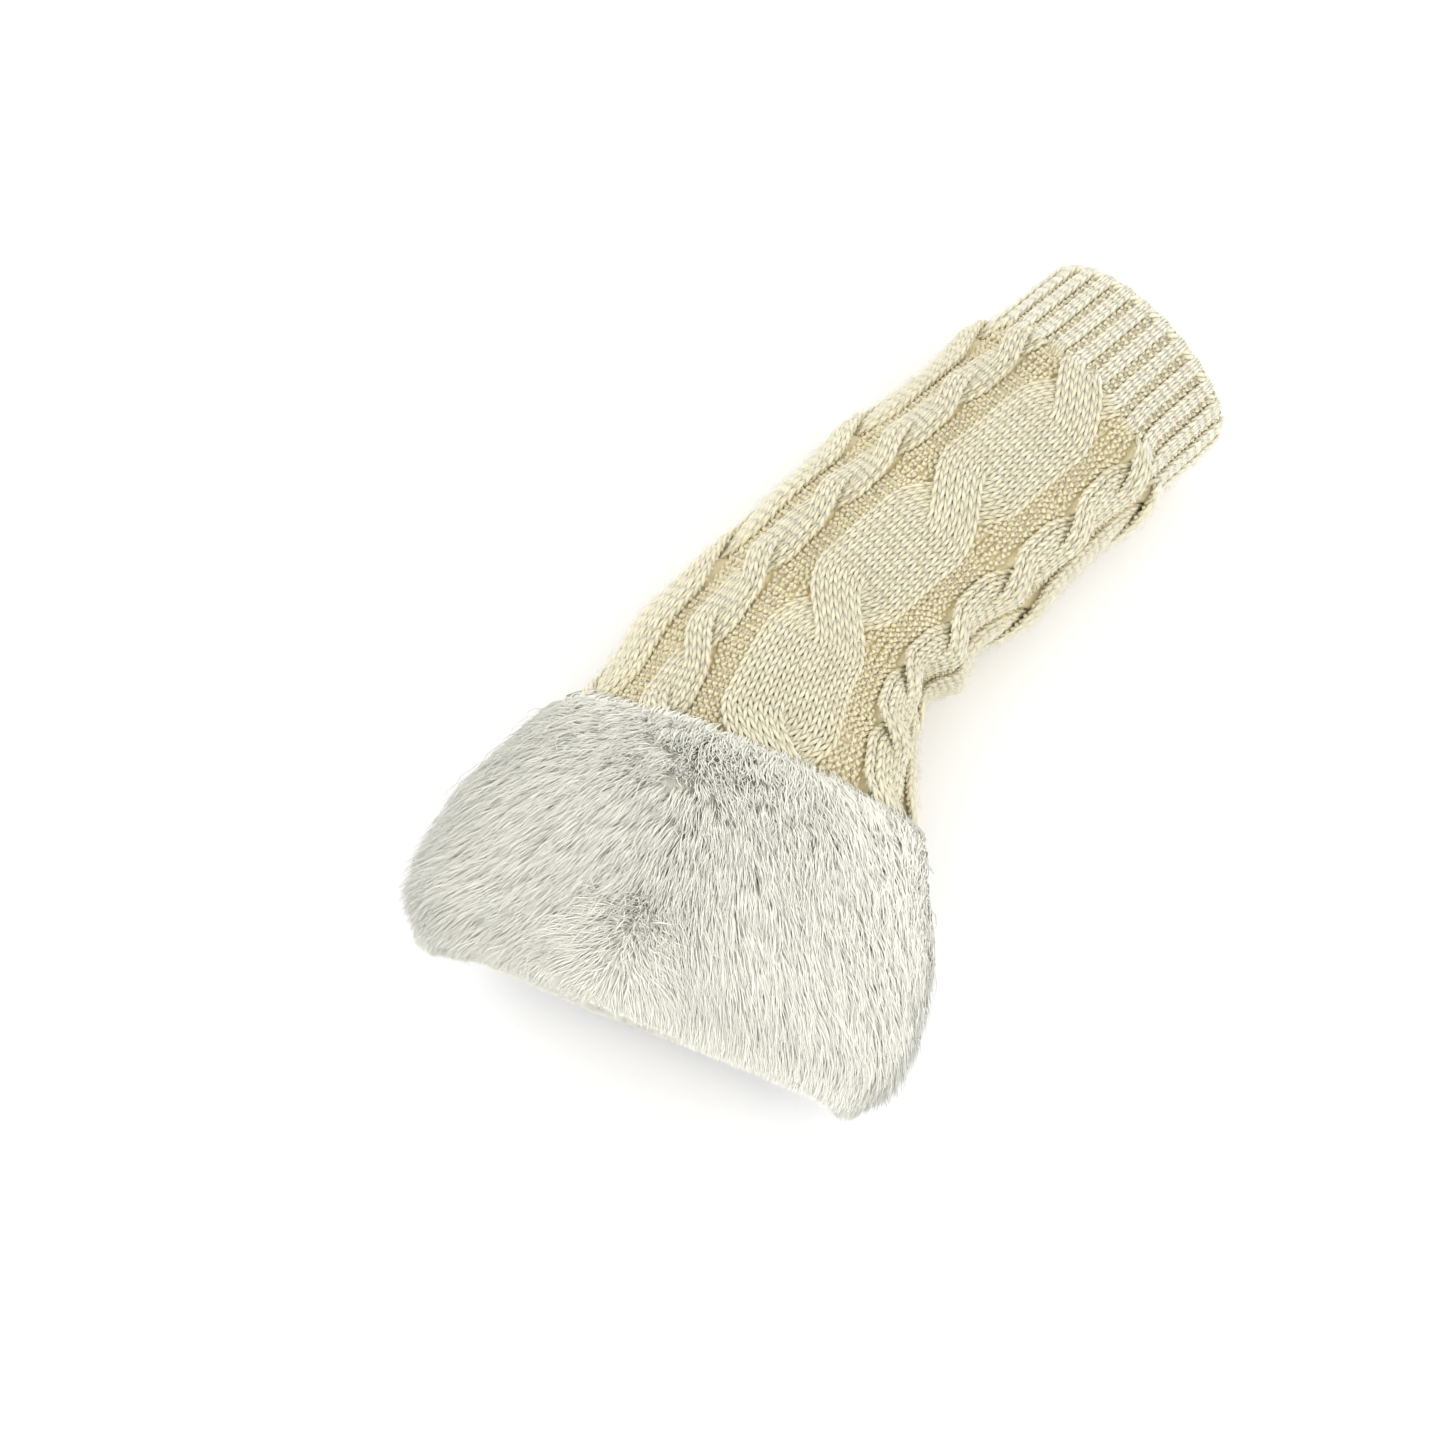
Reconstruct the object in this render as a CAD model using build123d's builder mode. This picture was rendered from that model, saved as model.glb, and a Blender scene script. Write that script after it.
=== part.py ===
"""A long fingerless glove: a cable-knit sleeve with a ribbed arm end and a deep faux-fur cuff round the hand.

The glove lies palm down as it is when a hand fills it. It is drawn first about the wrist: the forearm's centre
line runs along +Y, the hand's turns off it towards +X, and Z = 0 is the surface that the glove lies on. Every
distance called "along" is measured on that bent centre line from the middle of the wrist, positive towards the
arm. Each piece is then moved so that the origin is the centre of the whole glove's footprint.
"""

import os
from collections import namedtuple
from math import cos, degrees, pi, radians, sin, tan

from build123d import *

# Centre line: two straight runs joined by one arc at the wrist
WRIST_BEND_DEG = 27.0
WRIST_TANGENT = 24.5  # from the point where the straight runs would cross to the start of the arc
ARC_RADIUS = WRIST_TANGENT / tan(radians(WRIST_BEND_DEG / 2))
HALF_ARC = ARC_RADIUS * radians(WRIST_BEND_DEG) / 2

# Distances along the centre line
ARM_EDGE = 118.0
CAST_ON_LENGTH = 2.5
RIB_LENGTH = 26.0
RIB_START = ARM_EDGE - RIB_LENGTH
KNIT_END = -48.0
CUFF_TOP = -40.0
CUFF_EDGE = -100.0
PILE_TOP = -38.0
PILE_EDGE = -104.0

# Cloth and yarn thicknesses
KNIT_WALL = 3.2
RIB_WALL = 2.8
CAST_ON_WALL = 3.4
BACKING_THICKNESS = 1.0
LINING_THICKNESS = 0.8
THREAD = 0.9
LAYER_GAP = 0.2  # between two layers of the cuff
END_GAP = 0.1  # between two pieces that follow each other along the glove

# Rib: grooves between the ribs, evenly round the arm end
RIB_COUNT = 26
RIB_GROOVE_RADIUS = 1.1

# Side seam and thumb slit, both on the thumb side; the slit is a gap in the closing seam of the fur
SEAM_ANGLE_DEG = 108.0  # from the top of the glove, round the thumb side
SEAM_TILT_DEG = 22.0  # how far the cloth leans off upright there
SEAM_WIDTH = 3.6
SEAM_HEIGHT = 1.6
SLIT_MIDDLE = -70.0
SLIT_LENGTH = 38.0
SLIT_HEIGHT = 16.0
SLIT_REACH = 70.0  # outwards from the middle of the hand
BINDING = 1.6
BINDING_STAND = 0.7  # how far the binding stands off the cloth on either side

# Care label: a blank loop of woven tape, sewn in at the side seam
LABEL_ALONG = 84.0
LABEL_WIDTH = 14.0
LABEL_HEIGHT = 12.0
LABEL_THICKNESS = 0.5
STITCH_LENGTH = 2.0
STITCH_THICKNESS = 0.5

# The middle of the footprint, seen from the point where the two straight runs would cross
FOOTPRINT_CENTRE = (33.603, -0.155)
CUT_SIZE = 600.0

# A ring of the glove: how far along, half its width, half its height, and the height of its centre
Ring = namedtuple("Ring", "along half_width half_height centre")

KNIT_RINGS = [
    Ring(ARM_EDGE, 30.5, 24.6, 23.4),
    Ring(RIB_START, 31.0, 25.0, 23.8),
    Ring(58.0, 32.2, 25.6, 24.4),
    Ring(HALF_ARC, 32.0, 25.0, 25.2),
    Ring(12.0, 32.2, 24.6, 25.8),
    Ring(0.0, 33.2, 24.8, 27.4),
    Ring(-12.0, 35.6, 25.4, 29.0),
    Ring(-HALF_ARC, 38.8, 26.0, 30.2),
    Ring(CUFF_TOP, 43.4, 27.2, 32.0),
    Ring(KNIT_END, 44.4, 27.2, 33.0),
]
CUFF_RINGS = [
    Ring(CUFF_TOP, 44.6, 28.0, 32.2),
    Ring(KNIT_END, 45.6, 28.0, 33.2),
    Ring(-56.0, 46.0, 28.0, 33.9),
    Ring(-78.0, 46.8, 27.4, 35.6),
    Ring(CUFF_EDGE, 47.0, 26.6, 36.5),
]
PILE_RINGS = [
    Ring(PILE_TOP, 47.8, 31.4, 31.8),
    Ring(-42.0, 50.8, 35.2, 33.6),
    Ring(-48.0, 53.2, 37.6, 35.2),
    Ring(-56.0, 56.0, 39.2, 36.6),
    Ring(-72.0, 59.8, 40.2, 37.4),
    Ring(-88.0, 62.2, 40.0, 37.4),
    Ring(-98.0, 61.4, 38.6, 37.0),
    Ring(PILE_EDGE, 56.6, 33.6, 36.6),
]


def centre_line(along):
    """The point at that distance along the centre line, and its heading in degrees off the forearm's."""
    if along >= HALF_ARC:
        return (0.0, WRIST_TANGENT + along - HALF_ARC), 0.0
    if along > -HALF_ARC:
        turned = (HALF_ARC - along) / ARC_RADIUS
        point = (ARC_RADIUS * (1 - cos(turned)), WRIST_TANGENT - ARC_RADIUS * sin(turned))
        return point, degrees(turned)
    bend = radians(WRIST_BEND_DEG)
    out = WRIST_TANGENT - along - HALF_ARC
    return (out * sin(bend), -out * cos(bend)), WRIST_BEND_DEG


def ring_plane(along, height):
    """The upright plane across the glove, with its X towards the outer side and its Z towards the hand."""
    (x, y), heading = centre_line(along)
    turn = radians(heading)
    return Plane(origin=(x, y, height), x_dir=(cos(turn), sin(turn), 0), z_dir=(sin(turn), -cos(turn), 0))


def ring_at(rings, along):
    """The ring at that distance, read off in a straight line between the two rings beside it."""
    for ahead, behind in zip(rings, rings[1:]):
        if behind.along <= along <= ahead.along:
            share = (ahead.along - along) / (ahead.along - behind.along)
            return Ring(*[a + share * (b - a) for a, b in zip(ahead, behind)])
    raise ValueError(f"no ring at {along}")


def stretch_of(rings, start, end):
    """The rings of the stretch from start to end, with a new ring at either end of it."""
    inner = [ring for ring in rings if end < ring.along < start]
    return [ring_at(rings, start), *inner, ring_at(rings, end)]


def tube(rings, outward=0.0, mode=Mode.ADD):
    """A filled tube through the rings, each grown by outward."""
    sections = []
    for ring in rings:
        with BuildSketch(ring_plane(ring.along, ring.centre)) as section:
            Ellipse(ring.half_width + outward, ring.half_height + outward)
        sections.append(section.sketch)
    loft(sections, ruled=True, mode=mode)


def cut_flat():
    """Cut off what would reach below the surface that the glove lies on."""
    with Locations((0, 0, -CUT_SIZE / 2)):
        Box(CUT_SIZE, CUT_SIZE, CUT_SIZE, mode=Mode.SUBTRACT)


def sleeve(rings, wall):
    """A hollow tube through the rings, flattened where it would reach below the surface it lies on."""
    tube(rings)
    tube(rings, outward=-wall, mode=Mode.SUBTRACT)
    cut_flat()


def layer(rings, inner, outer):
    """A hollow tube between the two distances outside the rings."""
    tube(rings, outward=outer)
    tube(rings, outward=inner, mode=Mode.SUBTRACT)


def seam_point(ring, inward):
    """Where the side seam crosses the ring, as its offset sideways and its height above the surface."""
    angle = radians(SEAM_ANGLE_DEG)
    sideways = -(ring.half_width - inward) * sin(angle)
    return sideways, ring.centre + (ring.half_height - inward) * cos(angle)


def thumb_slot(grow, mode=Mode.SUBTRACT):
    """The thumb slit as a level slot from the middle of the hand out past the fur on the thumb side."""
    (x, y), heading = centre_line(SLIT_MIDDLE)
    turn = radians(heading)
    height = seam_point(ring_at(CUFF_RINGS, SLIT_MIDDLE), 0.0)[1]
    side = Plane(origin=(x, y, height), x_dir=(sin(turn), -cos(turn), 0), z_dir=(-cos(turn), -sin(turn), 0))
    with BuildSketch(side) as slot:
        SlotOverall(SLIT_LENGTH + 2 * grow, SLIT_HEIGHT + 2 * grow)
    extrude(slot.sketch, amount=SLIT_REACH, mode=mode)


def seam_ridge(rings):
    """The ridge that two linked cloth edges make inside the glove, along the side seam."""
    inward = KNIT_WALL + 2 * LAYER_GAP + SEAM_HEIGHT / 2
    sections = []
    for ring in rings:
        with BuildSketch(ring_plane(ring.along, seam_point(ring, inward)[1])) as section:
            with Locations(Location((seam_point(ring, inward)[0], 0), SEAM_TILT_DEG)):
                RectangleRounded(SEAM_HEIGHT, SEAM_WIDTH, SEAM_HEIGHT / 3)
        sections.append(section.sketch)
    loft(sections, ruled=True)


def thread_ring(ring, inner, outer):
    """A row of stitches right round the glove, as a thin band that runs on towards the fingers."""
    with BuildSketch(ring_plane(ring.along, ring.centre)) as section:
        Ellipse(ring.half_width + outer, ring.half_height + outer)
        Ellipse(ring.half_width + inner, ring.half_height + inner, mode=Mode.SUBTRACT)
    extrude(section.sketch, amount=THREAD)


# Forearm ---------------------------------------------------------------------------------------------------

with BuildPart() as cast_on_edge:
    sleeve(stretch_of(KNIT_RINGS, ARM_EDGE, ARM_EDGE - CAST_ON_LENGTH), CAST_ON_WALL)
    arm_face = cast_on_edge.faces().sort_by(Axis.Y)[-1]
    fillet(arm_face.edges().filter_by(GeomType.ELLIPSE), CAST_ON_WALL / 4)

with BuildPart() as rib_cuff:
    rib_rings = stretch_of(KNIT_RINGS, ARM_EDGE - CAST_ON_LENGTH - END_GAP, RIB_START)
    sleeve(rib_rings, RIB_WALL)
    for number in range(RIB_COUNT):
        around = 2 * pi * (number + 0.5) / RIB_COUNT
        grooves = []
        for ring in rib_rings:
            with BuildSketch(ring_plane(ring.along, ring.centre)) as groove:
                with Locations((ring.half_width * cos(around), ring.half_height * sin(around))):
                    Circle(RIB_GROOVE_RADIUS)
            grooves.append(groove.sketch)
        loft(grooves, ruled=True, mode=Mode.SUBTRACT)

with BuildPart() as forearm_knit:
    sleeve(stretch_of(KNIT_RINGS, RIB_START - END_GAP, HALF_ARC), KNIT_WALL)

with BuildPart() as side_seam_forearm:
    seam_ridge(stretch_of(KNIT_RINGS, ARM_EDGE - 2 * CAST_ON_LENGTH, HALF_ARC))

label_inward = KNIT_WALL + SEAM_HEIGHT + 5 * LAYER_GAP
label_ring = ring_at(KNIT_RINGS, LABEL_ALONG)
label_x, label_z = seam_point(label_ring, label_inward)
with BuildPart() as care_label:
    with BuildSketch(ring_plane(LABEL_ALONG, label_z)):
        with Locations((label_x + 1.5 * LABEL_THICKNESS, LABEL_HEIGHT / 2)):
            Rectangle(3 * LABEL_THICKNESS, LABEL_HEIGHT)
        with Locations((label_x + 1.5 * LABEL_THICKNESS, LABEL_HEIGHT / 2 - LABEL_THICKNESS)):
            Rectangle(LABEL_THICKNESS, LABEL_HEIGHT, mode=Mode.SUBTRACT)
    extrude(amount=LABEL_WIDTH)

with BuildPart() as label_stitches:
    stitch_x = label_x + 3 * LABEL_THICKNESS + STITCH_THICKNESS / 2 + END_GAP / 2
    for number in range(3):
        stitch_along = LABEL_ALONG - LABEL_WIDTH * (number + 0.5) / 3 + STITCH_LENGTH / 2
        with BuildSketch(ring_plane(stitch_along, label_z + STITCH_LENGTH)):
            with Locations((stitch_x, 0)):
                Circle(STITCH_THICKNESS / 2)
        extrude(amount=STITCH_LENGTH)

# Wrist -----------------------------------------------------------------------------------------------------

with BuildPart() as wrist_knit:
    sleeve(stretch_of(KNIT_RINGS, HALF_ARC - END_GAP, END_GAP - HALF_ARC), KNIT_WALL)

with BuildPart() as side_seam_wrist:
    seam_ridge(stretch_of(KNIT_RINGS, HALF_ARC - END_GAP, END_GAP - HALF_ARC))

# Hand ------------------------------------------------------------------------------------------------------

with BuildPart() as hand_knit:
    sleeve(stretch_of(KNIT_RINGS, -HALF_ARC, KNIT_END), KNIT_WALL)

with BuildPart() as side_seam_hand:
    seam_ridge(stretch_of(KNIT_RINGS, -HALF_ARC, KNIT_END))

with BuildPart() as join_stitches:
    thread_ring(ring_at(KNIT_RINGS, CUFF_TOP + THREAD + END_GAP), 2 * LAYER_GAP, 2 * LAYER_GAP + THREAD)

# Fur cuff --------------------------------------------------------------------------------------------------

with BuildPart() as fur_backing:
    layer(CUFF_RINGS, 0.0, BACKING_THICKNESS)
    thumb_slot(BINDING)

with BuildPart() as cuff_lining:
    lining_rings = stretch_of(CUFF_RINGS, KNIT_END - END_GAP, CUFF_EDGE)
    layer(lining_rings, -LINING_THICKNESS - LAYER_GAP, -LAYER_GAP)
    thumb_slot(BINDING)

with BuildPart() as thumb_binding:
    thumb_slot(BINDING - END_GAP, mode=Mode.ADD)
    thumb_slot(0.0)
    binding_rings = stretch_of(CUFF_RINGS, KNIT_END, CUFF_EDGE)
    tube(binding_rings, outward=BACKING_THICKNESS + BINDING_STAND, mode=Mode.INTERSECT)
    tube(binding_rings, outward=-LINING_THICKNESS - LAYER_GAP - BINDING_STAND, mode=Mode.SUBTRACT)

with BuildPart() as hem_stitches:
    hem_ring = ring_at(CUFF_RINGS, CUFF_EDGE)._replace(along=CUFF_EDGE - END_GAP)
    thread_ring(hem_ring, -LINING_THICKNESS, BACKING_THICKNESS)

with BuildPart() as fur_pile:
    tube(PILE_RINGS)
    hole_rings = [
        CUFF_RINGS[0]._replace(along=PILE_TOP),
        *CUFF_RINGS,
        CUFF_RINGS[-1]._replace(along=PILE_EDGE),
    ]
    tube(hole_rings, outward=BACKING_THICKNESS + LAYER_GAP, mode=Mode.SUBTRACT)
    thumb_slot(BINDING)
    cut_flat()

parts = {
    "cast_on_edge": cast_on_edge,
    "rib_cuff": rib_cuff,
    "forearm_knit": forearm_knit,
    "side_seam_forearm": side_seam_forearm,
    "care_label": care_label,
    "label_stitches": label_stitches,
    "wrist_knit": wrist_knit,
    "side_seam_wrist": side_seam_wrist,
    "hand_knit": hand_knit,
    "side_seam_hand": side_seam_hand,
    "join_stitches": join_stitches,
    "fur_backing": fur_backing,
    "cuff_lining": cuff_lining,
    "thumb_binding": thumb_binding,
    "hem_stitches": hem_stitches,
    "fur_pile": fur_pile,
}

os.makedirs("parts", exist_ok=True)
to_footprint = Location((-FOOTPRINT_CENTRE[0], -FOOTPRINT_CENTRE[1], 0))
for label, piece in parts.items():
    solid = piece.part.moved(to_footprint)
    solid.label = label
    export_step(solid, f"parts/{label}.step")
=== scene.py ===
"""A cream cable-knit fingerless glove with a deep off-white faux-fur cuff, in yarn, hair and cloth, built
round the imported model. Lengths are in millimetres in the glove's own frame until a mesh is made, when they
become metres in the row frame."""

from math import cos, pi, radians, sin, tan

import bpy
import numpy as np
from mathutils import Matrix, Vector


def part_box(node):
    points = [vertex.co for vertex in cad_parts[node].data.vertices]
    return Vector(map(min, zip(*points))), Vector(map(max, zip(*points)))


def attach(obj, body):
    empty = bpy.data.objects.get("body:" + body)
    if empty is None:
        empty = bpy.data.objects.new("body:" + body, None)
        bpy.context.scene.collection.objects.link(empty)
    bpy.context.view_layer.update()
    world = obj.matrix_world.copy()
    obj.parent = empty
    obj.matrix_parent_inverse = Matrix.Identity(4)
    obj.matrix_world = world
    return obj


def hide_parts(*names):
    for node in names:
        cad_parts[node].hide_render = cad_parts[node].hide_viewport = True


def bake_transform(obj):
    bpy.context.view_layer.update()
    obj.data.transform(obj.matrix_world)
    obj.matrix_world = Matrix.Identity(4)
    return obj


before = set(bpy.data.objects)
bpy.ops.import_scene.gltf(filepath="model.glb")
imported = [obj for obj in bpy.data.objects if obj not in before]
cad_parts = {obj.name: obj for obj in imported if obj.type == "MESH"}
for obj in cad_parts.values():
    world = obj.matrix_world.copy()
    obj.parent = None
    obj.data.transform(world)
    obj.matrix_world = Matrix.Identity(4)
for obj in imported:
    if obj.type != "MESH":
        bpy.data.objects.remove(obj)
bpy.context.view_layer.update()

# Centre line and rings, as in the CAD -----------------------------------------------------------------------

FOOTPRINT_CENTRE = (33.603, -0.155)
BEND = radians(27.0)
WRIST_TANGENT = 24.5
ARC_RADIUS = WRIST_TANGENT / tan(BEND / 2)
HALF_ARC = ARC_RADIUS * BEND / 2
ARM_EDGE = 118.0
RIB_START = 92.0
KNIT_END = -48.0
CUFF_TOP = -40.0
CUFF_EDGE = -100.0

# along, half width, half height, height of the centre
KNIT_RINGS = [
    (118.0, 30.5, 24.6, 23.4),
    (92.0, 31.0, 25.0, 23.8),
    (58.0, 32.2, 25.6, 24.4),
    (HALF_ARC, 32.0, 25.0, 25.2),
    (12.0, 32.2, 24.6, 25.8),
    (0.0, 33.2, 24.8, 27.4),
    (-12.0, 35.6, 25.4, 29.0),
    (-HALF_ARC, 38.8, 26.0, 30.2),
    (-40.0, 43.4, 27.2, 32.0),
    (-48.0, 44.4, 27.2, 33.0),
]
CUFF_RINGS = [
    (-40.0, 44.6, 28.0, 32.2),
    (-48.0, 45.6, 28.0, 33.2),
    (-56.0, 46.0, 28.0, 33.9),
    (-78.0, 46.8, 27.4, 35.6),
    (-100.0, 47.0, 26.6, 36.5),
]
PILE_RINGS = [
    (-38.0, 47.8, 31.4, 31.8),
    (-42.0, 50.8, 35.2, 33.6),
    (-48.0, 53.2, 37.6, 35.2),
    (-56.0, 56.0, 39.2, 36.6),
    (-72.0, 59.8, 40.2, 37.4),
    (-88.0, 62.2, 40.0, 37.4),
    (-98.0, 61.4, 38.6, 37.0),
    (-104.0, 56.6, 33.6, 36.6),
]
SEAM_TURN = -0.292  # the side seam and the thumb slit, as a share of the way round, thumb side negative
SLIT_MIDDLE = -70.0
SLIT_LENGTH = 38.0
SLIT_HEIGHT = 16.0

# The knit's pattern
STITCHES = 104
REPEAT = 26
CLOTH_IN = 1.3  # the middle of the cloth, inside the CAD's outer face
# Stitches from the middle of a wide cable to its edge, to the rope cable's edge and to that one's middle, and
# how many millimetres round that is: the cables spread and the gutters close up
STITCH_PLACES = (0, 6, 10, 13)
_, WIDE_HALF, ROPE_START, ROPE_MIDDLE = STITCH_PLACES
ROUND_PLACES = (0, 12.0, 17.6, 22.5)
STITCH_WIDTH = 1.9
PATTERN_TURN = 0.026  # the middle cable lies a little towards the little finger
ROW = 2.52
FIRST_ROW = ARM_EDGE - 1.2
CROSSING = 45.0  # a crossing of the wide cable, along the centre line
WIDE_PERIOD = 42.0
ROPE_PERIOD = WIDE_PERIOD / 2
ZONE_START = 38.0  # the knit's wrist rows start here
ZONE_SPLIT = -6.0  # and end here, where the hand rows start

rng = np.random.default_rng(11)


def smoothstep(low, high, x):
    t = np.clip((x - low) / (high - low), 0, 1)
    return t * t * (3 - 2 * t)


def spread(number, start, end):
    return np.linspace(start, end, number)


def near(distance, reach):
    """1 at no distance, falling away over the reach."""
    return np.exp(-((distance / reach) ** 2))


def turn_off(turn, about):
    """How far turn is from about, as a share of the way round, between minus and plus a half."""
    return (turn - about + 0.5) % 1.0 - 0.5


def soft_floor(height, floor, softness):
    """Heights eased up to stay above the floor."""
    return floor + np.logaddexp(0, (height - floor) / softness) * softness


def centre_line(along):
    """x, y and heading of the centre line."""
    turned = np.clip((HALF_ARC - along) / ARC_RADIUS, 0, BEND)
    beyond = np.maximum(-HALF_ARC - along, 0)
    x = ARC_RADIUS * (1 - np.cos(turned)) + beyond * sin(BEND)
    y = WRIST_TANGENT - ARC_RADIUS * np.sin(turned) + np.maximum(along - HALF_ARC, 0) - beyond * cos(BEND)
    return x, y, turned


class Tube:
    """A bent oval tube. A place on it is how far along, and what share of the way round from the top."""

    STEP = 0.5
    AROUND = 256

    def __init__(self, rings, smooth, floor=None, squareness=0.85):
        table = np.array(rings[::-1])
        self.low = table[0, 0] - 14
        count = int((table[-1, 0] + 14 - self.low) / self.STEP) + 1
        self.along = self.low + self.STEP * np.arange(count)
        reach = int(3 * smooth / self.STEP)
        kernel = np.exp(-0.5 * (np.arange(-reach, reach + 1) * self.STEP / smooth) ** 2)
        kernel /= kernel.sum()
        columns = []
        for column in (1, 2, 3):
            values = np.interp(self.along, table[:, 0], table[:, column])
            padded = np.pad(values, reach, mode="edge")
            columns.append(np.convolve(padded, kernel, mode="valid"))
        self.wide, self.high, self.centre = columns
        self.under = self.high if floor is None else np.minimum(self.high, self.centre - floor)
        self.squareness = squareness if floor is not None else 1.0
        angles = np.linspace(0, 2 * pi, self.AROUND * 4 + 1)
        self.angle = np.empty((count, self.AROUND + 1))
        for number in range(count):
            x, z = self.oval(number, angles)
            lengths = np.concatenate([[0], np.cumsum(np.hypot(np.diff(x), np.diff(z)))])
            shares = np.linspace(0, lengths[-1], self.AROUND + 1)
            self.angle[number] = np.interp(shares, lengths, angles)

    def oval(self, index, angle):
        c, s = np.cos(angle), np.sin(angle)
        under = -self.under[index] * np.abs(c) ** self.squareness
        return self.wide[index] * s, np.where(c > 0, self.high[index] * c, under)

    def place(self, along, turn, out=0.0):
        """Points at those places, out millimetres off the surface, and the outward directions there."""
        along, turn, out = np.broadcast_arrays(*[np.asarray(v, float) for v in (along, turn, out)])
        row = np.clip((along - self.low) / self.STEP, 0, len(self.along) - 1.001)
        low = row.astype(int)
        part = row - low
        column = (turn % 1.0) * self.AROUND
        left = np.minimum(column.astype(int), self.AROUND - 1)
        across = column - left

        def mix(a, b, t):
            return a + (b - a) * t

        angle = mix(
            mix(self.angle[low, left], self.angle[low, left + 1], across),
            mix(self.angle[low + 1, left], self.angle[low + 1, left + 1], across),
            part,
        )
        x0, z0 = self.oval(low, angle)
        x1, z1 = self.oval(low + 1, angle)
        wide = mix(self.wide[low], self.wide[low + 1], part)
        high = mix(self.high[low], self.high[low + 1], part)
        nx, nz = high * np.sin(angle), wide * np.cos(angle)
        size = np.hypot(nx, nz)
        nx, nz = nx / size, nz / size
        sideways = mix(x0, x1, part) + out * nx
        height = mix(self.centre[low], self.centre[low + 1], part) + mix(z0, z1, part) + out * nz
        x, y, heading = centre_line(along)
        point = np.stack([x + sideways * np.cos(heading), y + sideways * np.sin(heading), height], -1)
        outward = np.stack([nx * np.cos(heading), nx * np.sin(heading), nz], -1)
        return point, outward


knit = Tube([(a, w - CLOTH_IN, h - CLOTH_IN, c) for a, w, h, c in KNIT_RINGS], 5.0, floor=2.0)
cuff = Tube(CUFF_RINGS, 4.0)
pile = Tube(PILE_RINGS, 2.0, floor=0.9, squareness=0.75)


def row_point(point):
    """A point of the glove's frame, in metres in the row frame."""
    return tuple((float(v) - shift) / 1000 for v, shift in zip(point, (*FOOTPRINT_CENTRE, 0)))


# Meshes ----------------------------------------------------------------------------------------------------


def make_mesh(name, points, face_sets, attributes=(), uv=None):
    """A smooth-shaded mesh object from points in the glove's frame and arrays of faces of equal size."""
    mesh = bpy.data.meshes.new(name)
    points = np.asarray(points, float).reshape(-1, 3) - np.array([*FOOTPRINT_CENTRE, 0])
    face_sets = [np.asarray(f, np.int32) for f in face_sets if len(f)]
    loops = np.concatenate([f.reshape(-1) for f in face_sets])
    sizes = np.concatenate([np.full(len(f), f.shape[1], np.int32) for f in face_sets])
    mesh.vertices.add(len(points))
    mesh.vertices.foreach_set("co", (points / 1000).astype(np.float32).reshape(-1))
    mesh.loops.add(len(loops))
    mesh.loops.foreach_set("vertex_index", loops)
    mesh.polygons.add(len(sizes))
    starts = np.concatenate([[0], np.cumsum(sizes)[:-1]]).astype(np.int32)
    mesh.polygons.foreach_set("loop_start", starts)
    mesh.update(calc_edges=True)
    mesh.polygons.foreach_set("use_smooth", np.ones(len(sizes), bool))
    for attribute, values in attributes:
        layer = mesh.attributes.new(attribute, "FLOAT", "POINT")
        layer.data.foreach_set("value", np.asarray(values, np.float32).reshape(-1))
    if uv is not None:
        layer = mesh.uv_layers.new(name="yarn")
        layer.data.foreach_set("uv", np.asarray(uv, np.float32)[loops].reshape(-1))
    mesh.validate()
    piece = bpy.data.objects.new(name, mesh)
    bpy.context.collection.objects.link(piece)
    return piece


def strands(points, outward, radius, sides, tips=False):
    """Tubes along many lines at once. points and outward are (lines, steps, 3), radius (lines, steps)."""
    lines, steps = points.shape[:2]
    ahead = np.gradient(points, axis=1)
    ahead /= np.linalg.norm(ahead, axis=-1, keepdims=True) + 1e-12
    side = np.cross(ahead, outward)
    side /= np.linalg.norm(side, axis=-1, keepdims=True) + 1e-12
    up = np.cross(side, ahead)
    angle = 2 * pi * np.arange(sides) / sides
    ring = np.cos(angle)[:, None] * side[:, :, None, :] + np.sin(angle)[:, None] * up[:, :, None, :]
    shell = points[:, :, None, :] + radius[:, :, None, None] * ring
    body_steps = steps - 1 if tips else steps
    shell = shell[:, :body_steps].reshape(lines, body_steps * sides, 3)
    size = body_steps * sides
    if tips:
        shell = np.concatenate([shell, points[:, -1:, :]], axis=1)
        size += 1
    step, corner = np.meshgrid(np.arange(body_steps - 1), np.arange(sides), indexing="ij")
    base = (step * sides + corner).reshape(-1)
    turned = (step * sides + (corner + 1) % sides).reshape(-1)
    quads = np.stack([base, base + sides, turned + sides, turned], -1)
    offsets = (np.arange(lines) * size)[:, None, None]
    faces = [(quads[None] + offsets).reshape(-1, 4)]
    caps = np.arange(sides)[None, None] + offsets
    faces.append(caps.reshape(-1, sides))
    last = (body_steps - 1) * sides
    if tips:
        around = np.arange(sides)
        fans = np.stack([last + around, np.full(sides, size - 1), last + (around + 1) % sides], -1)
        faces.append((fans[None] + offsets).reshape(-1, 3))
    else:
        faces.append((last + np.arange(sides)[::-1][None, None] + offsets).reshape(-1, sides))
    return shell.reshape(-1, 3), faces


def per_point(values, steps, sides, tips=False):
    """Values given per line and step, spread over the points that strands() makes."""
    values = np.asarray(values, float)
    if tips:
        body = np.repeat(values[:, : steps - 1], sides, axis=1)
        return np.concatenate([body, values[:, -1:]], axis=1).reshape(-1)
    return np.repeat(values, sides, axis=1).reshape(-1)


# The knit --------------------------------------------------------------------------------------------------


def crossing(along, period):
    """Distance from the nearest crossing of a cable with that period, and that crossing's number."""
    number = np.round((along - CROSSING) / period)
    return along - CROSSING - number * period, number


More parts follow.
